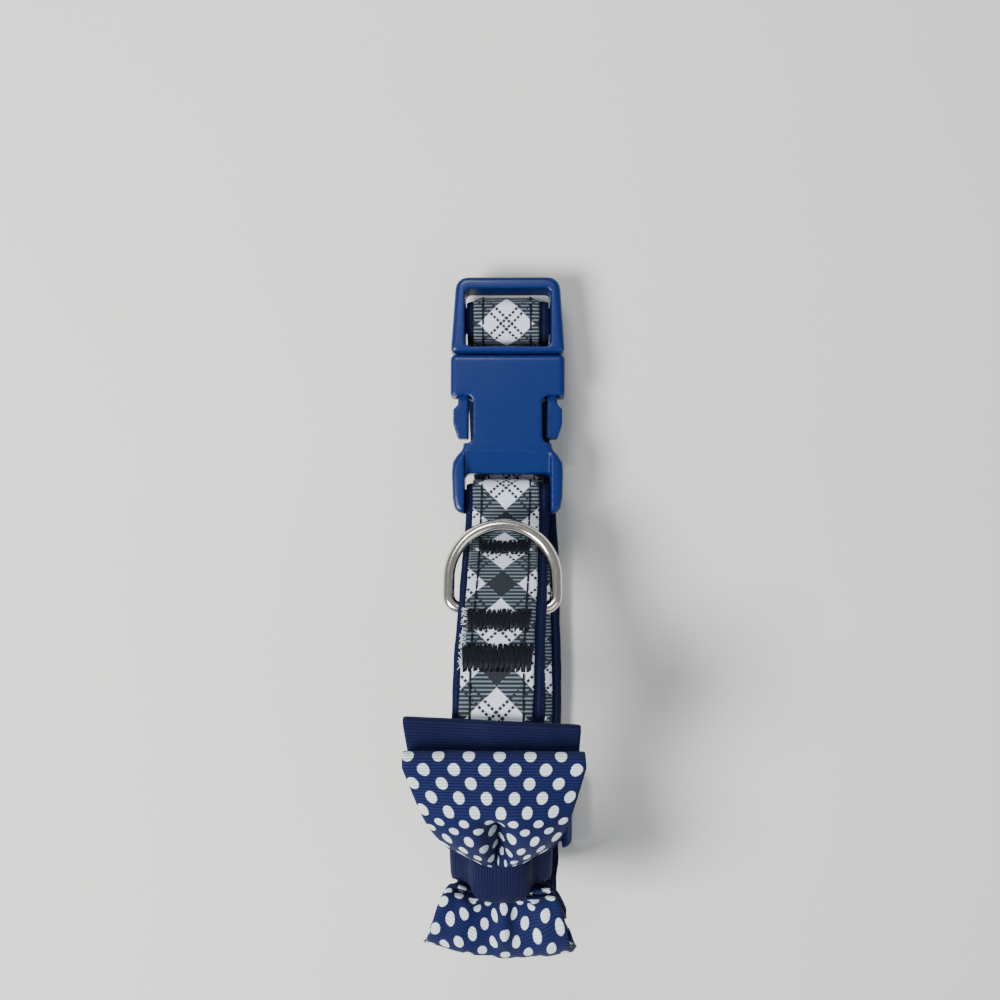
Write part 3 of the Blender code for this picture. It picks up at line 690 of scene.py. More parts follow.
@dataclass(frozen=True)
class PlaidFinish:
    """Woven ribbon with a traditional diagonal plaid of black and white bands."""

    period: float = 14.7
    band: float = 5.2
    stripe: float = 0.9
    dash: float = 1.05
    pair: float = 1.75
    line: float = 0.66
    shift: float = 4.3
    pick: float = 0.45
    yarn: float = 0.38
    # white_shade and black_shade are the white and the black with painted shade, for the valleys of the
    # weave.
    white: Color = linear(222, 230, 244)
    white_shade: Color = linear(176, 188, 208)
    single: Color = linear(128, 142, 148)
    black: Color = linear(24, 34, 44)
    black_shade: Color = linear(12, 18, 26)

    def make(self) -> bpy.types.Material:
        """Builds the material.

        Returns:
            The material.
        """
        bench = Bench("plaid_ribbon")
        along, across = bench.cloth(Axis.ALONG), bench.cloth(Axis.ACROSS)
        wobble = bench.noise(bench.cloth_map(), scale=0.35, detail=1.0)
        moved = bench.math("ADD", along, bench.scaled(wobble, 0.5, self.shift - 0.25))
        marks, lines = [], []
        for sign in (1.0, -1.0):
            slant = bench.times(bench.scaled(across, sign, moved), 1.0 / sqrt(2.0))
            other = bench.times(bench.scaled(across, -sign, moved), 1.0 / sqrt(2.0))
            marks.append(bench.near(bench.wrap(slant, self.period), self.band / 2, soft=0.22))
            middle = bench.wrap(slant, self.period, self.period / 2)
            twin = bench.math("SUBTRACT", bench.math("ABSOLUTE", middle), self.pair / 2)
            dash = bench.near(bench.wrap(other, self.dash), self.dash * 0.35, soft=0.12)
            lines.append(bench.times(bench.near(twin, self.line / 2, soft=0.12), dash))
        both, either = bench.times(*marks), bench.math("MAXIMUM", *marks)
        stripes = bench.near(bench.wrap(along, self.stripe), self.stripe * 0.32, soft=0.14)
        dark = bench.math("MAXIMUM", both, bench.times(either, stripes))
        dark = bench.math("MAXIMUM", dark, bench.math("MAXIMUM", *lines))
        fuzz = bench.noise(bench.cloth_map(), scale=5.0, detail=4.0)
        weave = bench.scaled(bench.ribs(Axis.ACROSS, self.yarn), 0.35,
                             bench.times(bench.ribs(Axis.ALONG, self.pick), 0.65))
        # Painted shade: the weave's valleys lean to white_shade and black_shade and the yarn tops to the
        # lit colours. The fuzz adds random tone, and the bands, stripes and lines are print.
        lit = bench.scaled(weave, 0.35, bench.scaled(fuzz, 0.5, 0.15))
        tone = bench.mix(lit, self.white_shade, self.white)
        grey = bench.mix(bench.math("SUBTRACT", either, both), (1.0, 1.0, 1.0, 1.0), self.single)
        ink = bench.mix(bench.scaled(weave, 0.5, bench.times(fuzz, 0.4)), self.black_shade, self.black)
        return bench.dress(
            Base_Color=bench.mix(dark, bench.mix(1.0, tone, grey, "MULTIPLY"), ink), Roughness=0.68,
            Sheen_Weight=0.15, Specular_IOR_Level=0.3,
            Normal=bench.bump(bench.scaled(fuzz, 0.25, weave), distance=0.10 * MM, strength=0.8))


@dataclass(frozen=True)
class GrosgrainFinish:
    """Ribbed grosgrain ribbon, plain or with woven-in dots."""

    name: str
    # color and dot are the lit colours. shade and dot_shade are the same colours with painted shade, for
    # the valleys between the ribs.
    color: Color
    shade: Color
    dots: bool = False
    dot: Color = linear(228, 240, 244)
    dot_shade: Color = linear(188, 204, 214)
    rib: float = 0.62
    yarn: float = 0.33
    spacing: float = 6.35
    row: float = 5.7
    radius: float = 1.24
    shift: float = 0.0
    side: float = -1.2

    def make(self) -> bpy.types.Material:
        """Builds the material.

        Returns:
            The material.
        """
        bench = Bench(self.name)
        along, across = bench.cloth(Axis.ALONG), bench.cloth(Axis.ACROSS)
        ribs = bench.ribs(Axis.ALONG, self.rib)
        fuzz = bench.noise(bench.cloth_map(), scale=4.0, detail=5.0)
        # Painted shade: the valleys between the ribs lean to the shade colour and the rib tops to the lit
        # colour. The fuzz adds random tone.
        base = bench.mix(bench.scaled(fuzz, 0.45, bench.times(ribs, 0.6)), self.shade, self.color)
        if self.dots:
            spots = []
            for step in (0.0, 0.5):
                row = bench.wrap(along, self.row, self.shift + step * self.row)
                column = bench.wrap(across, self.spacing, self.side + step * self.spacing)
                square = bench.math("ADD", bench.times(row, row), bench.times(column, column))
                far = bench.math("SQRT", square)
                ragged = bench.math("ADD", far, bench.scaled(fuzz, 0.3, -0.15))
                spots.append(bench.near(ragged, self.radius, soft=0.16))
            # The dots are print, and they take the same painted shade between the ribs, from dot_shade to
            # dot.
            white = bench.mix(bench.scaled(ribs, 0.6, 0.2), self.dot_shade, self.dot)
            base = bench.mix(bench.math("MAXIMUM", *spots), base, white)
        height = bench.scaled(bench.ribs(Axis.ACROSS, self.yarn), 0.18, ribs)
        return bench.dress(Base_Color=base, Roughness=0.70, Sheen_Weight=0.03, Specular_IOR_Level=0.18,
                           Normal=bench.bump(height, distance=0.16 * MM, strength=0.85))


@dataclass(frozen=True)
class PlasticFinish:
    """Satin moulded plastic in saturated blue."""

    color: Color = linear(0, 34, 88)
    deep: Color = linear(0, 24, 92)

    def make(self) -> bpy.types.Material:
        """Builds the material.

        Returns:
            The material.
        """
        bench = Bench("blue_plastic")
        place = bench.place()
        cloud = bench.noise(place, scale=140.0, detail=2.0)
        grain = bench.noise(place, scale=5200.0, detail=2.0)
        scuff = bench.noise(place, scale=900.0, detail=4.0)
        return bench.dress(
            Base_Color=bench.mix(cloud, self.deep, self.color), Roughness=bench.scaled(scuff, 0.16, 0.26),
            Specular_IOR_Level=0.3, Coat_Weight=0.1, Coat_Roughness=0.18,
            Normal=bench.bump(bench.scaled(scuff, 0.6, grain), distance=0.012 * MM, strength=0.5))


@dataclass(frozen=True)
class NickelFinish:
    """Polished nickel plate with fine handling marks."""

    color: Color = linear(206, 204, 198)
    warm: Color = linear(206, 200, 182)

    def make(self) -> bpy.types.Material:
        """Builds the material.

        Returns:
            The material.
        """
        bench = Bench("nickel")
        place = bench.place()
        marks = bench.noise(place, scale=1600.0, detail=5.0)
        cloud = bench.noise(place, scale=260.0, detail=3.0)
        return bench.dress(
            Base_Color=bench.mix(cloud, self.warm, self.color), Metallic=1.0,
            Roughness=bench.scaled(marks, 0.14, 0.07),
            Normal=bench.bump(marks, distance=0.008 * MM, strength=0.4))


@dataclass(frozen=True)
class ThreadFinish:
    """Twisted sewing thread."""

    name: str = "navy_thread"
    color: Color = linear(9, 10, 28)
    shade: Color = linear(3, 3, 12)

    def make(self) -> bpy.types.Material:
        """Builds the material.

        Returns:
            The material.
        """
        bench = Bench(self.name)
        twist = bench.noise(bench.place(), scale=3800.0, detail=2.0)
        return bench.dress(
            Base_Color=bench.mix(twist, self.shade, self.color), Roughness=0.55, Specular_IOR_Level=0.25,
            Normal=bench.bump(twist, distance=0.05 * MM, strength=0.6))


@dataclass(frozen=True)
class FloorFinish:
    """Plain pale floor."""

    color: Color = linear(226, 226, 224)
    shade: Color = linear(220, 220, 218)

    def make(self) -> bpy.types.Material:
        """Builds the material.

        Returns:
            The material.
        """
        bench = Bench("pale_floor")
        cloud = bench.noise(bench.place(), scale=9.0, detail=2.0)
        return bench.dress(Base_Color=bench.mix(cloud, self.shade, self.color), Roughness=0.85)


def finish_mesh(name: str, mesh: bmesh.types.BMesh, material: bpy.types.Material,
                smooth: bool = True) -> bpy.types.Object:
    """Turns a bmesh into a dressed object in the scene.

    Args:
        name: the piece's name.
        mesh: its mesh, which is freed.
        material: its finish.
        smooth: whether its faces are shaded smooth.

    Returns:
        The new object.
    """
    bmesh.ops.recalc_face_normals(mesh, faces=mesh.faces)
    data = bpy.data.meshes.new(name)
    mesh.to_mesh(data)
    mesh.free()
    data.materials.append(material)
    if smooth:
        data.shade_smooth()
    piece = bpy.data.objects.new(name, data)
    bpy.context.collection.objects.link(piece)
    return piece


def loft(rings: Sequence[Sequence[Point3]], maps: Sequence[Sequence[Point2]] | None = None,
         closed: bool = False) -> bmesh.types.BMesh:
    """A closed solid through rings of points.

    Args:
        rings: equal rings of points, each going once round the solid.
        maps: for each point its place on the cloth, in millimetres.
        closed: whether the last ring joins the first; otherwise both ends are capped.

    Returns:
        The mesh, with the cloth map where maps are given.
    """
    mesh = bmesh.new()
    cloth = mesh.loops.layers.uv.new("cloth") if maps else None
    rows = [[mesh.verts.new(point) for point in ring] for ring in rings]
    size, count = len(rings[0]), len(rings)

    def face(corners: Sequence[tuple[int, int]]) -> None:
        """Adds one face.

        Args:
            corners: ring and point number of each corner.
        """
        made = mesh.faces.new([rows[i % count][j] for i, j in corners])
        if cloth:
            for loop, (i, j) in zip(made.loops, corners):
                loop[cloth].uv = maps[i if i < len(maps) else i % count][j]

    for i in range(count if closed else count - 1):
        for j in range(size):
            k = (j + 1) % size
            face(((i, j), (i, k), (i + 1, k), (i + 1, j)))
    if not closed:
        face([(0, j) for j in range(size)])
        face([(count - 1, j) for j in range(size)])
    return mesh


def both_faces(columns: int) -> list[tuple[float, int]]:
    """Walks once round a strip: (1, column) along its outer face, then (-1, column) back."""
    outer = [(1.0, j) for j in range(columns)]
    return outer + [(-1.0, j) for _, j in reversed(outer)]


def tubes(lines: Iterable[Sequence[Point3]], radius: float, sides: int = 6,
          closed: bool = False) -> bmesh.types.BMesh:
    """Round tubes along lines, in one mesh.

    Args:
        lines: the lines, as points.
        radius: the radius of every tube.
        sides: corners of its section.
        closed: whether each line ends where it starts; otherwise both ends are capped.

    Returns:
        The mesh.
    """
    mesh = bmesh.new()
    for line in lines:
        points = [Vector(point) for point in line]
        rings, across = [], None
        for i, point in enumerate(points):
            before = points[i - 1] if i or closed else point
            after = points[(i + 1) % len(points)] if i + 1 < len(points) or closed else point
            ahead = (after - before).normalized()
            if across is None:
                across = ahead.orthogonal().normalized()
            across = (across - ahead * across.dot(ahead)).normalized()
            up = ahead.cross(across)
            turns = [2 * pi * k / sides for k in range(sides)]
            rings.append([mesh.verts.new(point + radius * (across * cos(turn) + up * sin(turn)))
                          for turn in turns])
        pairs = list(zip(rings, rings[1:])) + ([(rings[-1], rings[0])] if closed else [])
        for a, b in pairs:
            for k in range(sides):
                mesh.faces.new((a[k], a[(k + 1) % sides], b[(k + 1) % sides], b[k]))
        if not closed:
            mesh.faces.new(rings[0])
            mesh.faces.new(rings[-1])
    return mesh


@dataclass
class Moulding:
    """A moulded plastic piece: the solid's own form, softened at every edge like a casting."""

    node: str
    voxel: float = 0.27 * MM
    rounds: int = 7
    factor: float = 0.5
    weld: float = 0.001 * MM

    def build(self, source: bpy.types.Object, material: bpy.types.Material, body: str) -> bpy.types.Object:
        """Makes the piece and puts it in the solid's place.

        Args:
            source: the solid.
            material: the plastic.
            body: the body that the piece rides.

        Returns:
            The piece.
        """
        mesh = bmesh.new()
        mesh.from_mesh(source.data)
        bmesh.ops.remove_doubles(mesh, verts=mesh.verts, dist=self.weld)
        piece = finish_mesh(f"{self.node}_moulding", mesh, material)
        remesh = piece.modifiers.new("cast", "REMESH")
        remesh.mode, remesh.voxel_size, remesh.use_smooth_shade = "VOXEL", self.voxel, True
        soften = piece.modifiers.new("soften", "SMOOTH")
        soften.factor, soften.iterations = self.factor, self.rounds
        graph = bpy.context.evaluated_depsgraph_get()
        piece.data = bpy.data.meshes.new_from_object(piece.evaluated_get(graph), depsgraph=graph)
        piece.modifiers.clear()
        piece.data.shade_smooth()
        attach(piece, body)
        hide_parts(self.node)
        return piece


@dataclass(frozen=True)
class Layer:
    """One woven layer of the strap, between two offsets from the profile's line.

    seed is the phase of its edges' small waves. slip is how far its pattern lies along the lower half,
    past the bend that the bow hides.
    """

    name: str
    width: float
    inner: float
    outer: float
    columns: int
    seed: float
    side: float = 0.0
    slip: float = 0.0


@dataclass
class Strap:
    """Webbing with its ribbon, running stitches and tack rows.

    The pattern is as woven at the anchor. It creeps toward the female bar and slips past the bow. tacks
    holds (place, length, width, sideways offset) of each row, waves (height, turns, share of the seed),
    stitch_starts (side, first stitch) and stitch_shape (share of the stitch, height in millimetres).
    tack_lift holds a tack's height in millimetres at its ends, between them, and more for each layer.
    """

    profile: StrapProfile
    shift: Point2
    web: Layer = Layer("strap_webbing", 20.0 * MM, 0.05 * MM, 1.45 * MM, 25, 0.4)
    ribbon: Layer = Layer("strap_ribbon", 16.0 * MM, 2.3 * MM - 0.55 * MM, 2.3 * MM, 21, 1.9,
                          -0.35 * MM, 0.9 * MM)
    anchor: float = 75.0 * MM
    creep: float = 3.2 * MM
    creep_run: float = 20.0 * MM
    slip_start: float = 0.33
    slip_run: float = 0.15
    waves: tuple[Point3, ...] = ((0.12 * MM, 310.0, 1.0), (0.08 * MM, 770.0, 2.0))
    crowding: float = 0.35
    edge_power: int = 14
    edge_thin: float = 0.62
    pucker: float = 0.05 * MM
    pucker_turns: float = 2050.0
    pucker_width: float = 0.8 * MM
    seam: float = 5.8 * MM
    seam_wave: float = 0.12 * MM
    seam_turns: float = 190.0
    stitch: float = 2.3 * MM
    stitch_gap: float = 0.35 * MM
    stitch_starts: tuple[Point2, ...] = ((-1.0, 1.0 * MM), (1.0, 1.7 * MM))
    stitch_shape: tuple[Point2, ...] = ((0.0, -0.15), (0.14, 0.06), (0.5, 0.10), (0.86, 0.06), (1.0, -0.15))
    thread: float = 0.25 * MM
    tack_thread: float = 0.76
    tack_pitch: float = 1.12 * MM
    tack_layers: int = 3
    tack_layer_shift: float = 0.27 * MM
    tack_jitter: Point2 = (-0.55, 0.3)
    tack_shares: tuple[float, ...] = (0.0, 0.35, 0.65, 1.0)
    tack_lift: Point3 = (0.05, 0.14, 0.08)
    tack_seed: int = 4
    tacks: tuple[tuple[float, float, float, float], ...] = (
        (46.5 * MM, 4.1 * MM, 11.4 * MM, -0.1 * MM), (60.6 * MM, 4.9 * MM, 13.6 * MM, -0.5 * MM),
        (67.6 * MM, 5.6 * MM, 15.0 * MM, -0.4 * MM))
    fray_thread: float = 0.08 * MM
    fray_sides: int = 4
    fray_seed: int = 9
    end_frays: int = 30
    end_reach: Point2 = (0.4, 1.9)
    end_lean: Point2 = (-0.5, 0.5)
    end_root: float = 0.6 * MM
    end_spread: float = 0.97
    side_frays: int = 64
    side_clear: Point2 = (3.0 * MM, 2.0 * MM)
    navy_thread: ThreadFinish = ThreadFinish()
    white_thread: ThreadFinish = ThreadFinish("white_thread", linear(214, 222, 234), linear(170, 180, 198))

    def __post_init__(self) -> None:
        """Works out the reference line, its normals and lengths, and where its top starts."""
        self.path, self.covered = self.profile.path()
        self.line = [(y, z) for _, y, z in self.path]
        self.normals, self.marks = normals_of(self.line), lengths_of(self.line)
        self.top = self.profile.top_line()
        self.start = self.marks[min(range(self.covered), key=lambda i: dist(self.line[i], self.top[0]))]

    def top_length(self, reach: float) -> float:
        """Length along the cloth to a level distance on the strap's top."""
        return self.start + self.profile.length_at(self.top, reach)

    def spot(self, index: int, across: float, height: float) -> Point3:
        """World point beside a station of the line."""
        (x, y, z), (ny, nz) = self.path[index], self.normals[index]
        return (x + across + self.shift[0], y + ny * height + self.shift[1], z + nz * height)

    def at(self, long: float, across: float, height: float) -> Point3:
        """World point at a length along the line.

        Args:
            long: the length.
            across: how far toward +X.
            height: how far outward.

        Returns:
            The point.
        """
        low, share = locate(self.marks, long)
        a, b = self.spot(low, across, height), self.spot(low + 1, across, height)
        return tuple(p + (q - p) * share for p, q in zip(a, b))

    def printed(self, layer: Layer, count: int) -> list[float]:
        """Where the layer's pattern stands at each station, measured along its outer face.

        Args:
            layer: the layer.
            count: how many stations it covers.

        Returns:
            The lengths.
        """
        outer, places = [0.0], []
        for i in range(1, count):
            step = Vector(self.spot(i, 0.0, layer.outer)) - Vector(self.spot(i - 1, 0.0, layer.outer))
            outer.append(outer[-1] + step.length)
        fixed = min(range(count), key=lambda i: abs(self.marks[i] - self.anchor))
        for long, along in zip(self.marks, outer):
            slipped = layer.slip * ease((long / self.marks[-1] - self.slip_start) / self.slip_run)
            crept = self.creep * (1.0 - ease((long - self.anchor + self.creep_run) / self.creep_run))
            places.append(along - outer[fixed] + self.marks[fixed] + slipped - crept)
        return places

    def strip(self, layer: Layer, count: int, material: bpy.types.Material) -> bpy.types.Object:
        """A woven strip along the line.

        Args:
            layer: the layer that it makes.
            count: how many stations it covers.
            material: its finish.

        Returns:
            The strip.
        """
        rings, maps, last = [], [], layer.columns - 1
        middle, half = (layer.inner + layer.outer) / 2, (layer.outer - layer.inner) / 2
        for i, printed in enumerate(self.printed(layer, count)):
            long = self.marks[i]
            wave = sum(high * sin(long * turns + phase * layer.seed) for high, turns, phase in self.waves)
            pucker = self.pucker * sin(long * self.pucker_turns + layer.seed)
            ring, place = [], []
            for face, j in both_faces(layer.columns):
                share = j / last * 2 - 1
                share = sin(share * pi / 2) * self.crowding + share * (1.0 - self.crowding)
                across = share * (layer.width / 2 + (wave if share > 0 else -wave) * 0.5)
                lift = face * half * (1.0 - self.edge_thin * abs(share) ** self.edge_power)
                if face > 0:
                    lift += pucker * bell(abs(across) - self.seam, self.pucker_width)
                ring.append(self.spot(i, across + layer.side, middle + lift))
                place.append((printed / MM, across / MM))
            rings.append(ring)
            maps.append(place)
        return finish_mesh(layer.name, loft(rings, maps), material)

    def running_stitches(self, material: bpy.types.Material) -> bpy.types.Object:
        """The two lines of stitches that hold the ribbon.

        Args:
            material: the thread.

        Returns:
            The stitches.
        """
        lines, end = [], self.marks[self.covered - 1]
        for side, long in self.stitch_starts:
            while long + self.stitch < end:
                across = side * self.seam + self.ribbon.side + self.seam_wave * sin(long * self.seam_turns)
                lines.append([self.at(long + self.stitch * t, across, self.ribbon.outer + lift * MM)
                              for t, lift in self.stitch_shape])
                long += self.stitch + self.stitch_gap
        return finish_mesh("running_stitches", tubes(lines, self.thread), material)

    def tack_rows(self, material: bpy.types.Material) -> bpy.types.Object:
        """Dense zigzag rows that close the strap round the buckle bar and the D-ring.

        Args:
            material: the thread.

        Returns:
            The rows.
        """
        rng, lines = random.Random(self.tack_seed), []
        ends, between, more = self.tack_lift
        for at, tall, wide, side in self.tacks:
            middle = self.top_length(at)
            LOG.info("tack row at %.1f mm along the cloth", middle / MM)
            for layer in range(self.tack_layers):
                line, turns = [], int(wide / self.tack_pitch * 2)
                for k in range(turns + 1):
                    across = (side + self.ribbon.side - wide / 2 + wide * k / turns
                              + self.tack_layer_shift * layer)
                    reach = (tall / 2 + rng.uniform(*self.tack_jitter) * MM) * (1.0 if k % 2 else -1.0)
                    for t in self.tack_shares if k < turns else self.tack_shares[:1]:
                        lift = ends if t in (0.0, 1.0) else between + more * layer
                        along = middle + reach - 2.0 * reach * t
                        beside = across + wide / turns * t
                        line.append(self.at(along, beside, self.ribbon.outer + lift * MM))
                lines.append(line)
        return finish_mesh("tack_rows", tubes(lines, self.thread * self.tack_thread), material)

    def spot_past(self, index: int, way: float, reach: float, across: float, height: float) -> Point3:
        """World point a little past a cut end of the ribbon.

        Args:
            index: the end's station.
            way: 1 past the line's end, -1 before its start.
            reach: how far past the end.
            across: how far toward +X.
            height: how far outward.

        Returns:
            The point.
        """
        if way > 0:
            return self.at(self.marks[index] + reach, across, height)
        a, b = Vector(self.spot(0, across, height)), Vector(self.spot(2, across, height))
        return tuple(a + (a - b).normalized() * reach)

    def frayed_ends(self, material: bpy.types.Material) -> bpy.types.Object:
        """Loose threads at the ribbon's two cut ends and beside the lower tack rows.

        Args:
            material: the thread.

        Returns:
            The threads.
        """
        rng, lines, face = random.Random(self.fray_seed), [], self.ribbon.outer
        for index, way in ((0, -1.0), (self.covered - 1, 1.0)):
            for k in range(self.end_frays):
                share = k / (self.end_frays - 1) - 0.5
                across = self.ribbon.side + share * self.ribbon.width * self.end_spread
                reach, lean = rng.uniform(*self.end_reach) * MM, rng.uniform(*self.end_lean) * MM
                height = face - 0.25 * MM + rng.uniform(-0.1, 0.12) * MM
                lines.append([self.at(self.marks[index] - way * self.end_root, across, height),
                              self.spot_past(index, way, reach * 0.5, across + lean * 0.4, height),
                              self.spot_past(index, way, reach, across + lean, height + 0.05 * MM)])
        low = self.top_length(self.tacks[1][0]) - self.side_clear[0]
        high = self.top_length(self.tacks[2][0]) + self.side_clear[1]
        side, height = self.ribbon.side - self.ribbon.width / 2, face - 0.1 * MM
        for _ in range(self.side_frays):
            long = rng.uniform(low, high)
            lines.append([self.at(long, side + 0.8 * MM, height + 0.12 * MM),
                          self.at(long + rng.uniform(-0.4, 0.4) * MM, side, height + 0.2 * MM),
                          self.at(long + rng.uniform(-1.0, 1.0) * MM, side - rng.uniform(0.1, 0.8) * MM,
                                  height - rng.uniform(0.0, 0.5) * MM)])
        return finish_mesh("frayed_ends", tubes(lines, self.fray_thread, self.fray_sides), material)

    def build(self, body: str) -> list[bpy.types.Object]:
        """Args:
            body: the body that they ride.

        Returns:
            The pieces.
        """
        web = self.strip(self.web, len(self.path), WebbingFinish().make())
        ribbon = self.strip(self.ribbon, self.covered, PlaidFinish().make())
        thread, white = self.navy_thread.make(), self.white_thread.make()
        extras = [self.running_stitches(thread), self.tack_rows(thread), self.frayed_ends(white)]
        for piece in (web, ribbon, *extras):
            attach(piece, body)
        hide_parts("webbing")
        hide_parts("plaid_ribbon")
        return [web, ribbon, *extras]


@dataclass
class Ring:
    """Bent and welded wire D-ring, hinged in its tunnel.

    weld_at counts stations along the arc. weld_edge holds (depth, place, width) of the groove beside it.
    """

    hinge: Point3 = (0.468 * MM, 0.637 * MM, 31.691 * MM)
    angle: float = radians(-18.0)
    wire: float = 2.8 * MM
    width: float = 27.6 * MM
    depth: float = 22.2 * MM
    corner: float = 3.0 * MM
    corner_steps: int = 9
    arc_steps: int = 48
    bar_steps: int = 12
    sides: int = 24
    weld_at: int = 34
    weld_reach: float = 4.0 * MM
    weld_rise: float = 0.12 * MM
    weld_width: float = 1.9 * MM
    weld_edge: Point3 = (1.3, 1.5 * MM, 0.4 * MM)

    def outline(self) -> list[Point2]:
        """Middle line of the wire in its plane, with the straight bar on v = 0.

        Returns:
            The line, which closes on itself.
        """
        half, top = (self.width - self.wire) / 2, self.depth - self.wire
        bends = [pi / 2 * i / self.corner_steps for i in range(self.corner_steps + 1)]
        corner = [(half - self.corner + self.corner * sin(bend), self.corner - self.corner * cos(bend))
                  for bend in bends]
        turns = [pi * i / self.arc_steps for i in range(self.arc_steps + 1)]
        arc = [(half * cos(turn), top - half + half * sin(turn)) for turn in turns]
        bar = [(-half + self.corner + (half - self.corner) * 2 * i / self.bar_steps, 0.0)
               for i in range(1, self.bar_steps)]
        return corner + arc + [(-x, v) for x, v in reversed(corner)] + bar

    def build(self, body: str) -> list[bpy.types.Object]:
        """Makes the ring.

        Args:
            body: the body that it rides.

        Returns:
            The ring, in a list.
        """
        x0, y0, z0 = self.hinge
        line = [(x0 + x, y0 + v * cos(self.angle), z0 + v * sin(self.angle)) for x, v in self.outline()]
        mesh = tubes([line], self.wire / 2, self.sides, True)
        weld = Vector(line[self.corner_steps + 1 + self.weld_at])
        groove, groove_at, groove_width = self.weld_edge
        for vertex in mesh.verts:
            apart = (vertex.co - weld).length
            if apart < self.weld_reach:
                vertex.co += vertex.normal * self.weld_rise * (
                    bell(apart, self.weld_width) - groove * bell(apart - groove_at, groove_width))
        ring = finish_mesh("d_ring_wire", mesh, NickelFinish().make())
        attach(ring, body)
        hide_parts("d_ring")
        return [ring]


@dataclass
class RibbonFace:
    """The ribbon's outer face round the knot, which the bow lies on."""

    profile: StrapProfile
    shift: Point2
    thick: float = 2.4 * MM
    knot_at: float = 112.0 * MM
    drift_end: float = 0.84

    def __post_init__(self) -> None:
        """Works out the face's line, its normals and its lengths."""
        self.line = offset_line(self.profile.top_line(), self.thick)
        self.marks, self.normals = lengths_of(self.line), normals_of(self.line)
        self.knot = self.profile.length_at(self.line, self.knot_at)

    def point(self, across: float, along: float, height: float) -> Vector:
        """World point on or over the face.

        Args:
            across: how far toward +X from the strap's middle.
            along: length from the knot, toward the buckle.
            height: how far outward.

        Returns:
            The point.
        """
        i, share = locate(self.marks, min(max(self.knot - along, 0.0), self.marks[-1]))
        (y0, z0), (y1, z1) = self.line[i], self.line[i + 1]
        (a0, b0), (a1, b1) = self.normals[i], self.normals[i + 1]
        ny, nz = a0 + (a1 - a0) * share, b0 + (b1 - b0) * share
        level = min(-y0, self.drift_end * self.profile.reach)
        return Vector((across + self.profile.drift(-level, True) + self.shift[0],
                       y0 + (y1 - y0) * share + ny * height + self.shift[1],
                       z0 + (z1 - z0) * share + nz * height))


@dataclass(frozen=True)
class Lobe:
    """Shape of one lobe of a bow loop.

    In the methods share runs along the lobe, from the knot (0) to the end (1), and side runs across it,
    from -1 to 1. The waves hold (height, turns, phase), and crease_fan adds to each crease's phase
    toward the end.
    """

    end: float
    half: float
    loft: float
    puff: float = 0.0
    ridge: float = 0.0
    groove: float = 0.0
    groove_end: float = 0.5
    back: float = 0.0
    skew: float = 0.0
    wave: float = 0.0
    pleat: float = 0.0
    flare: float = 0.6
    lean: float = 0.0
    tuck: float = 0.0
    under: float = 0.0
    loft_rate: float = 1.6
    crest_start: float = 0.04
    crest_power: float = 0.75
    crest_round: float = 2.5
    hollow_start: float = 0.02
    hollow_run: float = 0.1
    hollow_fade: float = 0.2
    hollow_width: Point2 = (0.15, 0.06)
    crease_run: float = 0.07
    crease_fade: float = 3.2
    crease_waves: tuple[Point3, ...] = ((1.0, 10.5, 0.6), (0.6, 19.0, 0.0))
    crease_fan: tuple[float, ...] = (0.0, 3.0)
    ripple_waves: tuple[Point3, ...] = ((1.0, 4.6, 0.8), (0.4, 9.0, 2.0))
    pull_trim: float = 0.38
    pull_fade: float = 0.8
    pull_rate: float = 5.0

    def pinch_height(self, share: float, pinch: float) -> float:
        """Height of the upper layer over the lower layer, from the pinch at the knot to the loft."""
        belly = self.puff * sin(pi * min(1.0, share)) ** 2
        return pinch + (self.loft - pinch) * ease(share * self.loft_rate) + belly

    def half_width(self, share: float, upper: float, gather: float) -> float:
        """Half the lobe's width.

        Args:
            share: place along the lobe.
            upper: 0 on the lower layer, 1 on the upper one.
            gather: width of the cloth at the knot.

        Returns:
            Half the width.
        """
        root = gather / 2 * (1.0 - self.tuck * upper)
        half = root + (self.half - root) * min(1.0, share) ** self.flare
        return half * (1.0 - self.under * (1.0 - upper))

    def crest(self, share: float, side: float) -> float:
        """Rise of the rounded ridge along the lobe's middle.

        Args:
            share: place along the lobe.
            side: place across it.

        Returns:
            The rise.
        """
        along = share * (1.0 - self.crest_start) + self.crest_start
        rise = sin(pi * min(1.0, along ** self.crest_power))
        return self.ridge * rise * (1.0 - abs(side) ** self.crest_round)

    def hollow(self, share: float, side: float) -> float:
        """Depth of the groove that runs out from the knot.

        Args:
            share: place along the lobe.
            side: place across it.

        Returns:
            The depth.
        """
        begin = ease((share - self.hollow_start) / self.hollow_run)
        fade = 1.0 - ease((share - self.groove_end + self.hollow_fade / 2) / self.hollow_fade)
        at_end, more = self.hollow_width
        return self.groove * (begin * fade) * bell(side, at_end + more * (1.0 - share))

    def creases(self, share: float, side: float) -> float:
        """Gathers that fan out from the knot and fade toward the end and the two edges.

        Args:
            share: place along the lobe.
            side: place across it.

        Returns:
            Their height.
        """
        fade = self.pleat * ease(share / self.crease_run) * exp(-share * self.crease_fade)
        waves = sum(high * sin(side * turns + phase + share * fan)
                    for (high, turns, phase), fan in zip(self.crease_waves, self.crease_fan))
        return fade * (1.0 - side ** 4) * waves

    def ripple(self, share: float, side: float) -> float:
        """Slow waves of the free end."""
        slow, quick = (high * sin(side * turns + phase) for high, turns, phase in self.ripple_waves)
        return self.wave * share * (share * slow + quick)

    def pull(self, share: float, side: float) -> float:
        """How far the edges are drawn back toward the knot."""
        bow = side ** 2 - self.pull_trim * side ** 8
        return self.back * bow * (1.0 - min(1.0, share)) ** self.pull_fade * ease(share * self.pull_rate)


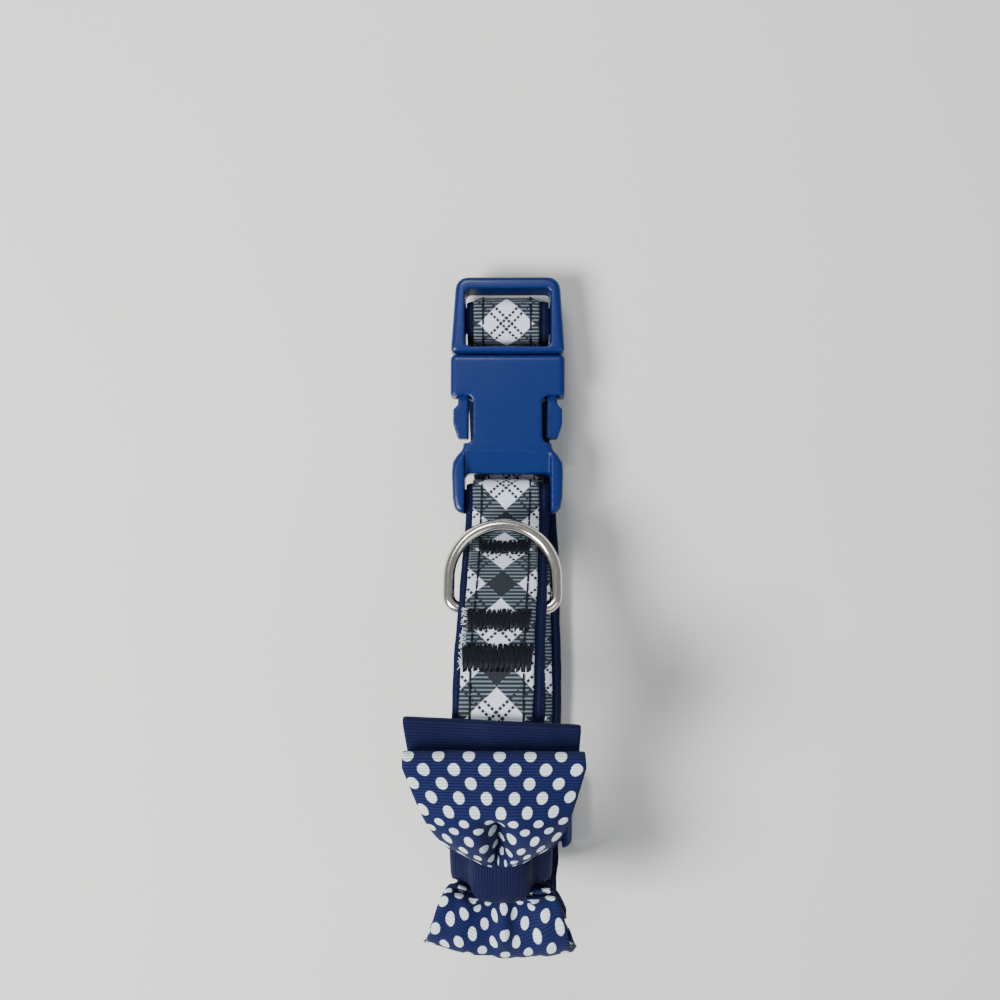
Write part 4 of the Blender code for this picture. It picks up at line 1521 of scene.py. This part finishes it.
@dataclass
class BowLoop:
    """A closed ribbon loop with two lobes, gathered at the knot."""

    name: str
    node: str
    face: RibbonFace
    far: Lobe
    near: Lobe
    base: Callable[[float], float]
    width: float = 38.0 * MM
    cloth: float = 0.7 * MM
    gather: float = 10.0 * MM
    knot: float = 10.0 * MM
    overlap: float = 0.3 * MM
    pinch: float = PINCH
    least: float = 0.75 * MM
    print_through: float = 0.25
    edge_thin: float = 0.55
    columns: int = 61
    steps: int = 30
    turn_steps: int = 8

    def spot(self, lobe: Lobe, way: float, side: float, share: float, upper: float) -> Vector:
        """World point of the cloth's middle.

        Args:
            lobe: the lobe's shape.
            way: 1 toward the buckle, -1 toward the near end.
            side: place across the ribbon, -1 to 1.
            share: place along the lobe, from the knot's edge (0) to its end (1).
            upper: 0 on the lower layer, 1 on the upper layer, between them in the turn.

        Returns:
            The point.
        """
        start, end = self.knot / 2 - self.overlap, lobe.end + lobe.skew * side * way - lobe.loft / 2
        across = side * lobe.half_width(share, upper, self.gather) + lobe.lean * min(1.0, share)
        creases = lobe.creases(share, side)
        top = max(self.least, lobe.pinch_height(share, self.pinch) + lobe.crest(share, side)
                  - lobe.hollow(share, side) + creases)
        low = self.print_through * creases + lobe.ripple(share, side)
        height = low + top * ((1.0 - cos(pi * upper)) / 2 if upper not in (0.0, 1.0) else upper)
        along = start + (end - start) * share + lobe.loft / 2 * sin(pi * upper) - lobe.pull(share, side)
        return self.face.point(across, way * along, self.base(way * along) + max(height, 0.0))

    def rows(self) -> list[list[Vector]]:
        """Middle points of the cloth, once round the loop.

        Returns:
            The rows, each from one edge of the ribbon to the other.
        """
        shares = [i / self.steps for i in range(self.steps + 1)]
        trip = [(share, 0.0) for share in shares]
        trip += [(1.0, k / self.turn_steps) for k in range(1, self.turn_steps)]
        trip += [(share, 1.0) for share in reversed(shares)]
        sides = [j / (self.columns - 1) * 2 - 1 for j in range(self.columns)]
        return [[self.spot(lobe, way, side, share, upper) for side in sides]
                for lobe, way, part in ((self.far, 1.0, trip), (self.near, -1.0, trip[::-1]))
                for share, upper in part]

    def build(self, body: str, material: bpy.types.Material, slot: str) -> bpy.types.Object:
        """Args:
            body: the body that it rides.
            material: the ribbon's finish.
            slot: not used.

        Returns:
            The loop.
        """
        rows, last, centre = self.rows(), self.columns - 1, self.columns // 2
        rings, maps, long = [], [], 0.0
        across = [(j / last - 0.5) * self.width / MM for j in range(self.columns)]
        for i, row in enumerate(rows):
            before, after = rows[i - 1], rows[(i + 1) % len(rows)]
            outside, inside = [], []
            for j, point in enumerate(row):
                beside = row[min(j + 1, last)] - row[max(j - 1, 0)]
                out = (after[j] - before[j]).cross(beside).normalized()
                half = self.cloth / 2 * (self.edge_thin if j in (0, last) else 1.0)
                outside.append(tuple(point - out * half))
                inside.append(tuple(point + out * half))
            long += (row[centre] - before[centre]).length if i else 0.0
            rings.append(outside + inside[::-1])
            maps.append([(long / MM, v) for v in across + across[::-1]])
        long += (rows[0][centre] - rows[-1][centre]).length
        maps.append([(long / MM, v) for _, v in maps[0]])
        LOG.info("%s: loop %.1f mm long, knot to knot", self.name, long / MM)
        loop = finish_mesh(self.name, loft(rings, maps, True), material)
        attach(loop, body)
        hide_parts(self.node)
        return loop


@dataclass
class Knot:
    """Narrow band round the bow's gathers and the strap."""

    face: RibbonFace
    top: float
    band: float = 10.0 * MM
    wall: float = 0.8 * MM
    narrow: float = 5.7 * MM
    side: float = 10.5 * MM
    low: float = -2.7 * MM
    roundings: int = 3
    columns: int = 13
    edge_thin: float = 0.5
    edge_sink: float = 0.35 * MM

    def outline(self) -> list[Point2]:
        """Middle line of the band round the strap.

        Returns:
            The line (across, height), which closes on itself.
        """
        half, outer = self.wall / 2, self.side + self.wall / 2
        # From the crown, over the brow and the shelf at its foot, down the side and to the underside.
        right = [(self.narrow * 0.45, self.top + half + 0.6 * MM),
                 (self.narrow + half, self.top - 0.4 * MM), (self.narrow + 0.9 * MM, self.top * 0.4),
                 (self.side * 0.84, 0.9 * MM), (outer, 0.1 * MM), (outer, self.low),
                 (self.side - 0.6 * MM, self.low - half)]
        left = [(-x, height) for x, height in right]
        points = left[:1] + right + left[:0:-1]
        for _ in range(self.roundings):
            points = [(a[0] * near + b[0] * (1.0 - near), a[1] * near + b[1] * (1.0 - near))
                      for a, b in zip(points, points[1:] + points[:1]) for near in (0.75, 0.25)]
        return points

    def build(self, body: str, material: bpy.types.Material) -> bpy.types.Object:
        """Args:
            body: the body that it rides.
            material: the ribbon's finish.

        Returns:
            The knot.
        """
        outline, last = self.outline(), self.columns - 1
        rings, maps, long = [], [], 0.0
        for i, (x, h) in enumerate(outline):
            (x0, h0), (x1, h1) = outline[i - 1], outline[(i + 1) % len(outline)]
            away = hypot(x1 - x0, h1 - h0)
            nx, nh = -(h1 - h0) / away, (x1 - x0) / away
            long += dist((x, h), outline[i - 1]) if i else 0.0
            ring, place = [], []
            for out, j in both_faces(self.columns):
                across, edge = (j / last - 0.5) * self.band, abs(j / last * 2 - 1)
                sink = self.edge_sink * edge ** 3 * (h > 0)
                lift = out * self.wall / 2 * (1.0 - self.edge_thin * edge ** 6) - sink
                ring.append(tuple(self.face.point(x + nx * lift, across, h + nh * lift)))
                place.append((long / MM, across / MM))
            rings.append(ring)
            maps.append(place)
        around = long + dist(outline[0], outline[-1])
        maps.append([(around / MM, v) for _, v in maps[0]])
        knot = finish_mesh("bow_knot_band", loft(rings, maps, True), material)
        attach(knot, body)
        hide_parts("bow_knot")
        return knot


@dataclass
class Bow:
    """Dotted loop over a plain loop, held by the knot."""

    face: RibbonFace
    rise: float = 0.8 * MM
    step: float = 1.1 * MM
    belly: float = 0.4 * MM
    knot_half: float = 5.0 * MM
    end_clear: float = 6.0 * MM
    band_clear: float = 0.6 * MM
    # Each ribbon's second colour is its painted shade between the ribs.
    plain_finish: GrosgrainFinish = GrosgrainFinish("plain_grosgrain", linear(2, 11, 64), linear(0, 3, 28))
    dotted_finish: GrosgrainFinish = GrosgrainFinish(
        "dotted_grosgrain", linear(14, 27, 84), linear(4, 9, 42), dots=True)
    plain_far: Lobe = Lobe(
        end=33.6 * MM, half=18.9 * MM, loft=2.0 * MM, puff=0.8 * MM, ridge=0.4 * MM, skew=-0.8 * MM,
        wave=0.3 * MM, pleat=0.8 * MM, flare=0.3, lean=-1.2 * MM)
    plain_near: Lobe = Lobe(
        end=20.0 * MM, half=15.0 * MM, loft=2.0 * MM, puff=0.6 * MM, ridge=0.3 * MM, skew=0.6 * MM,
        wave=0.2 * MM, pleat=0.9 * MM, flare=0.22)
    dotted_far: Lobe = Lobe(
        end=28.2 * MM, half=18.9 * MM, loft=4.6 * MM, puff=1.8 * MM, ridge=3.6 * MM, groove=7.0 * MM,
        groove_end=0.6, wave=0.12 * MM, pleat=0.3 * MM, lean=-0.7 * MM, tuck=0.5)
    dotted_near: Lobe = Lobe(
        end=24.8 * MM, half=17.7 * MM, loft=3.8 * MM, puff=2.6 * MM, ridge=1.4 * MM, groove=-1.5 * MM,
        groove_end=0.34, back=8.6 * MM, skew=-4.6 * MM, wave=0.05 * MM, pleat=0.7 * MM, flare=0.3,
        under=0.1)

    def plain_height(self, along: float) -> float:
        """Height of the dotted loop's lower layer, over the plain loop.

        Args:
            along: length from the knot, toward the buckle.

        Returns:
            The height over the ribbon.
        """
        lobe = self.plain_far if along > 0 else self.plain_near
        share = min(max(0.0, abs(along) - self.knot_half) / (lobe.end - self.end_clear), 1.0)
        return self.rise + lobe.pinch_height(share, PINCH) + self.belly * sin(pi * share) + self.step

    def build(self, body: str) -> list[bpy.types.Object]:
        """Makes the two loops and the knot.

        Args:
            body: the body that they ride.

        Returns:
            The three pieces.
        """
        plain, dotted = self.plain_finish.make(), self.dotted_finish.make()
        lower = BowLoop("bow_plain_loop", "bow_plain", self.face, self.plain_far, self.plain_near,
                        lambda along: self.rise)
        upper = BowLoop("bow_dotted_loop", "bow_dotted", self.face, self.dotted_far, self.dotted_near,
                        self.plain_height)
        top = self.plain_height(0.0) + PINCH + self.band_clear
        return [lower.build(body, plain, "plain_grosgrain"), upper.build(body, dotted, "dotted_grosgrain"),
                Knot(self.face, top).build(body, plain)]


@dataclass
class Studio:
    """Pale floor, soft lights and the photograph's view.

    lamps holds (name, place, size, power, color) of each light.
    """

    eye: Point3 = (3.1 * MM, 46.45 * MM, 257.5 * MM)
    look: Point3 = (-0.014, -0.0924, -0.9957)
    lens: float = 36.0
    sensor: float = 36.0
    clip: Point2 = (0.01, 10.0)
    floor_half: float = 3.0
    floor_level: float = -0.15 * MM
    aim: Point3 = (0.0, 0.0, 0.02)
    lamps: tuple[tuple[str, Point3, float, float, Point3], ...] = (
        ("key", (-0.42, -0.12, 0.60), 0.28, 9.0, (1.0, 0.98, 0.95)),
        ("fill", (0.50, -0.30, 0.70), 0.60, 1.6, (0.92, 0.96, 1.0)),
        ("glint", (-0.10, 0.42, 0.50), 0.16, 1.4, (1.0, 0.99, 0.96)))
    sky: Color = (0.92, 0.95, 1.0, 1.0)
    sky_strength: float = 0.34

    def light(self, name: str, at: Point3, size: float, power: float, color: Point3) -> None:
        """Adds a soft square light that looks at the collar.

        Args:
            name: its name.
            at: its place.
            size: length of its side.
            power: its power in watts.
            color: its colour, linear.
        """
        lamp = bpy.data.lights.new(name, "AREA")
        lamp.shape, lamp.size, lamp.energy, lamp.color = "SQUARE", size, power, color
        thing = bpy.data.objects.new(name, lamp)
        thing.location = at
        thing.rotation_euler = (Vector(self.aim) - Vector(at)).to_track_quat("-Z", "Y").to_euler()
        bpy.context.collection.objects.link(thing)

    def build(self) -> None:
        """Builds the floor, lights, world and camera."""
        mesh, half = bmesh.new(), self.floor_half
        for x, y in ((-half, -half), (half, -half), (half, half), (-half, half)):
            mesh.verts.new((x, y, self.floor_level))
        mesh.faces.new(mesh.verts)
        floor = finish_mesh("floor", mesh, FloorFinish().make(), False)
        for lamp in self.lamps:
            self.light(*lamp)
        world = bpy.data.worlds.new("studio")
        world.use_nodes = True
        background = world.node_tree.nodes["Background"].inputs
        background["Color"].default_value = self.sky
        background["Strength"].default_value = self.sky_strength
        bpy.context.scene.world = world
        camera = bpy.data.cameras.new("camera")
        camera.lens, camera.sensor_width = self.lens, self.sensor
        camera.clip_start, camera.clip_end = self.clip
        eye = bpy.data.objects.new("camera", camera)
        eye.location = self.eye
        back = -Vector(self.look).normalized()
        right = Vector((0.0, 1.0, 0.0)).cross(back).normalized()
        eye.rotation_euler = Matrix((right, back.cross(right), back)).transposed().to_euler()
        bpy.context.collection.objects.link(eye)
        bpy.context.scene.camera = eye


def plain(bounds: tuple[Vector, Vector]) -> list[list[float]]:
    return [list(corner) for corner in bounds]


def main() -> None:
    """Builds the collar piece by piece over the frame."""
    logging.basicConfig(level=logging.INFO, format="%(message)s")
    profile = StrapProfile()
    plastic = PlasticFinish().make()
    built: list[bpy.types.Object] = []
    built += Strap(profile, SHIFT).build("collar")
    built += [Moulding(node).build(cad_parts[node], plastic, "collar")
              for node in ("buckle_female", "buckle_male", "strap_slider")]
    built += Ring().build("ring")
    built += Bow(RibbonFace(profile, SHIFT)).build("collar")
    Studio().build()
    for piece in built:
        triangles = sum(len(face.vertices) - 2 for face in piece.data.polygons)
        LOG.info("%s: %d triangles", piece.name, triangles)


if __name__ == "__main__":
    main()
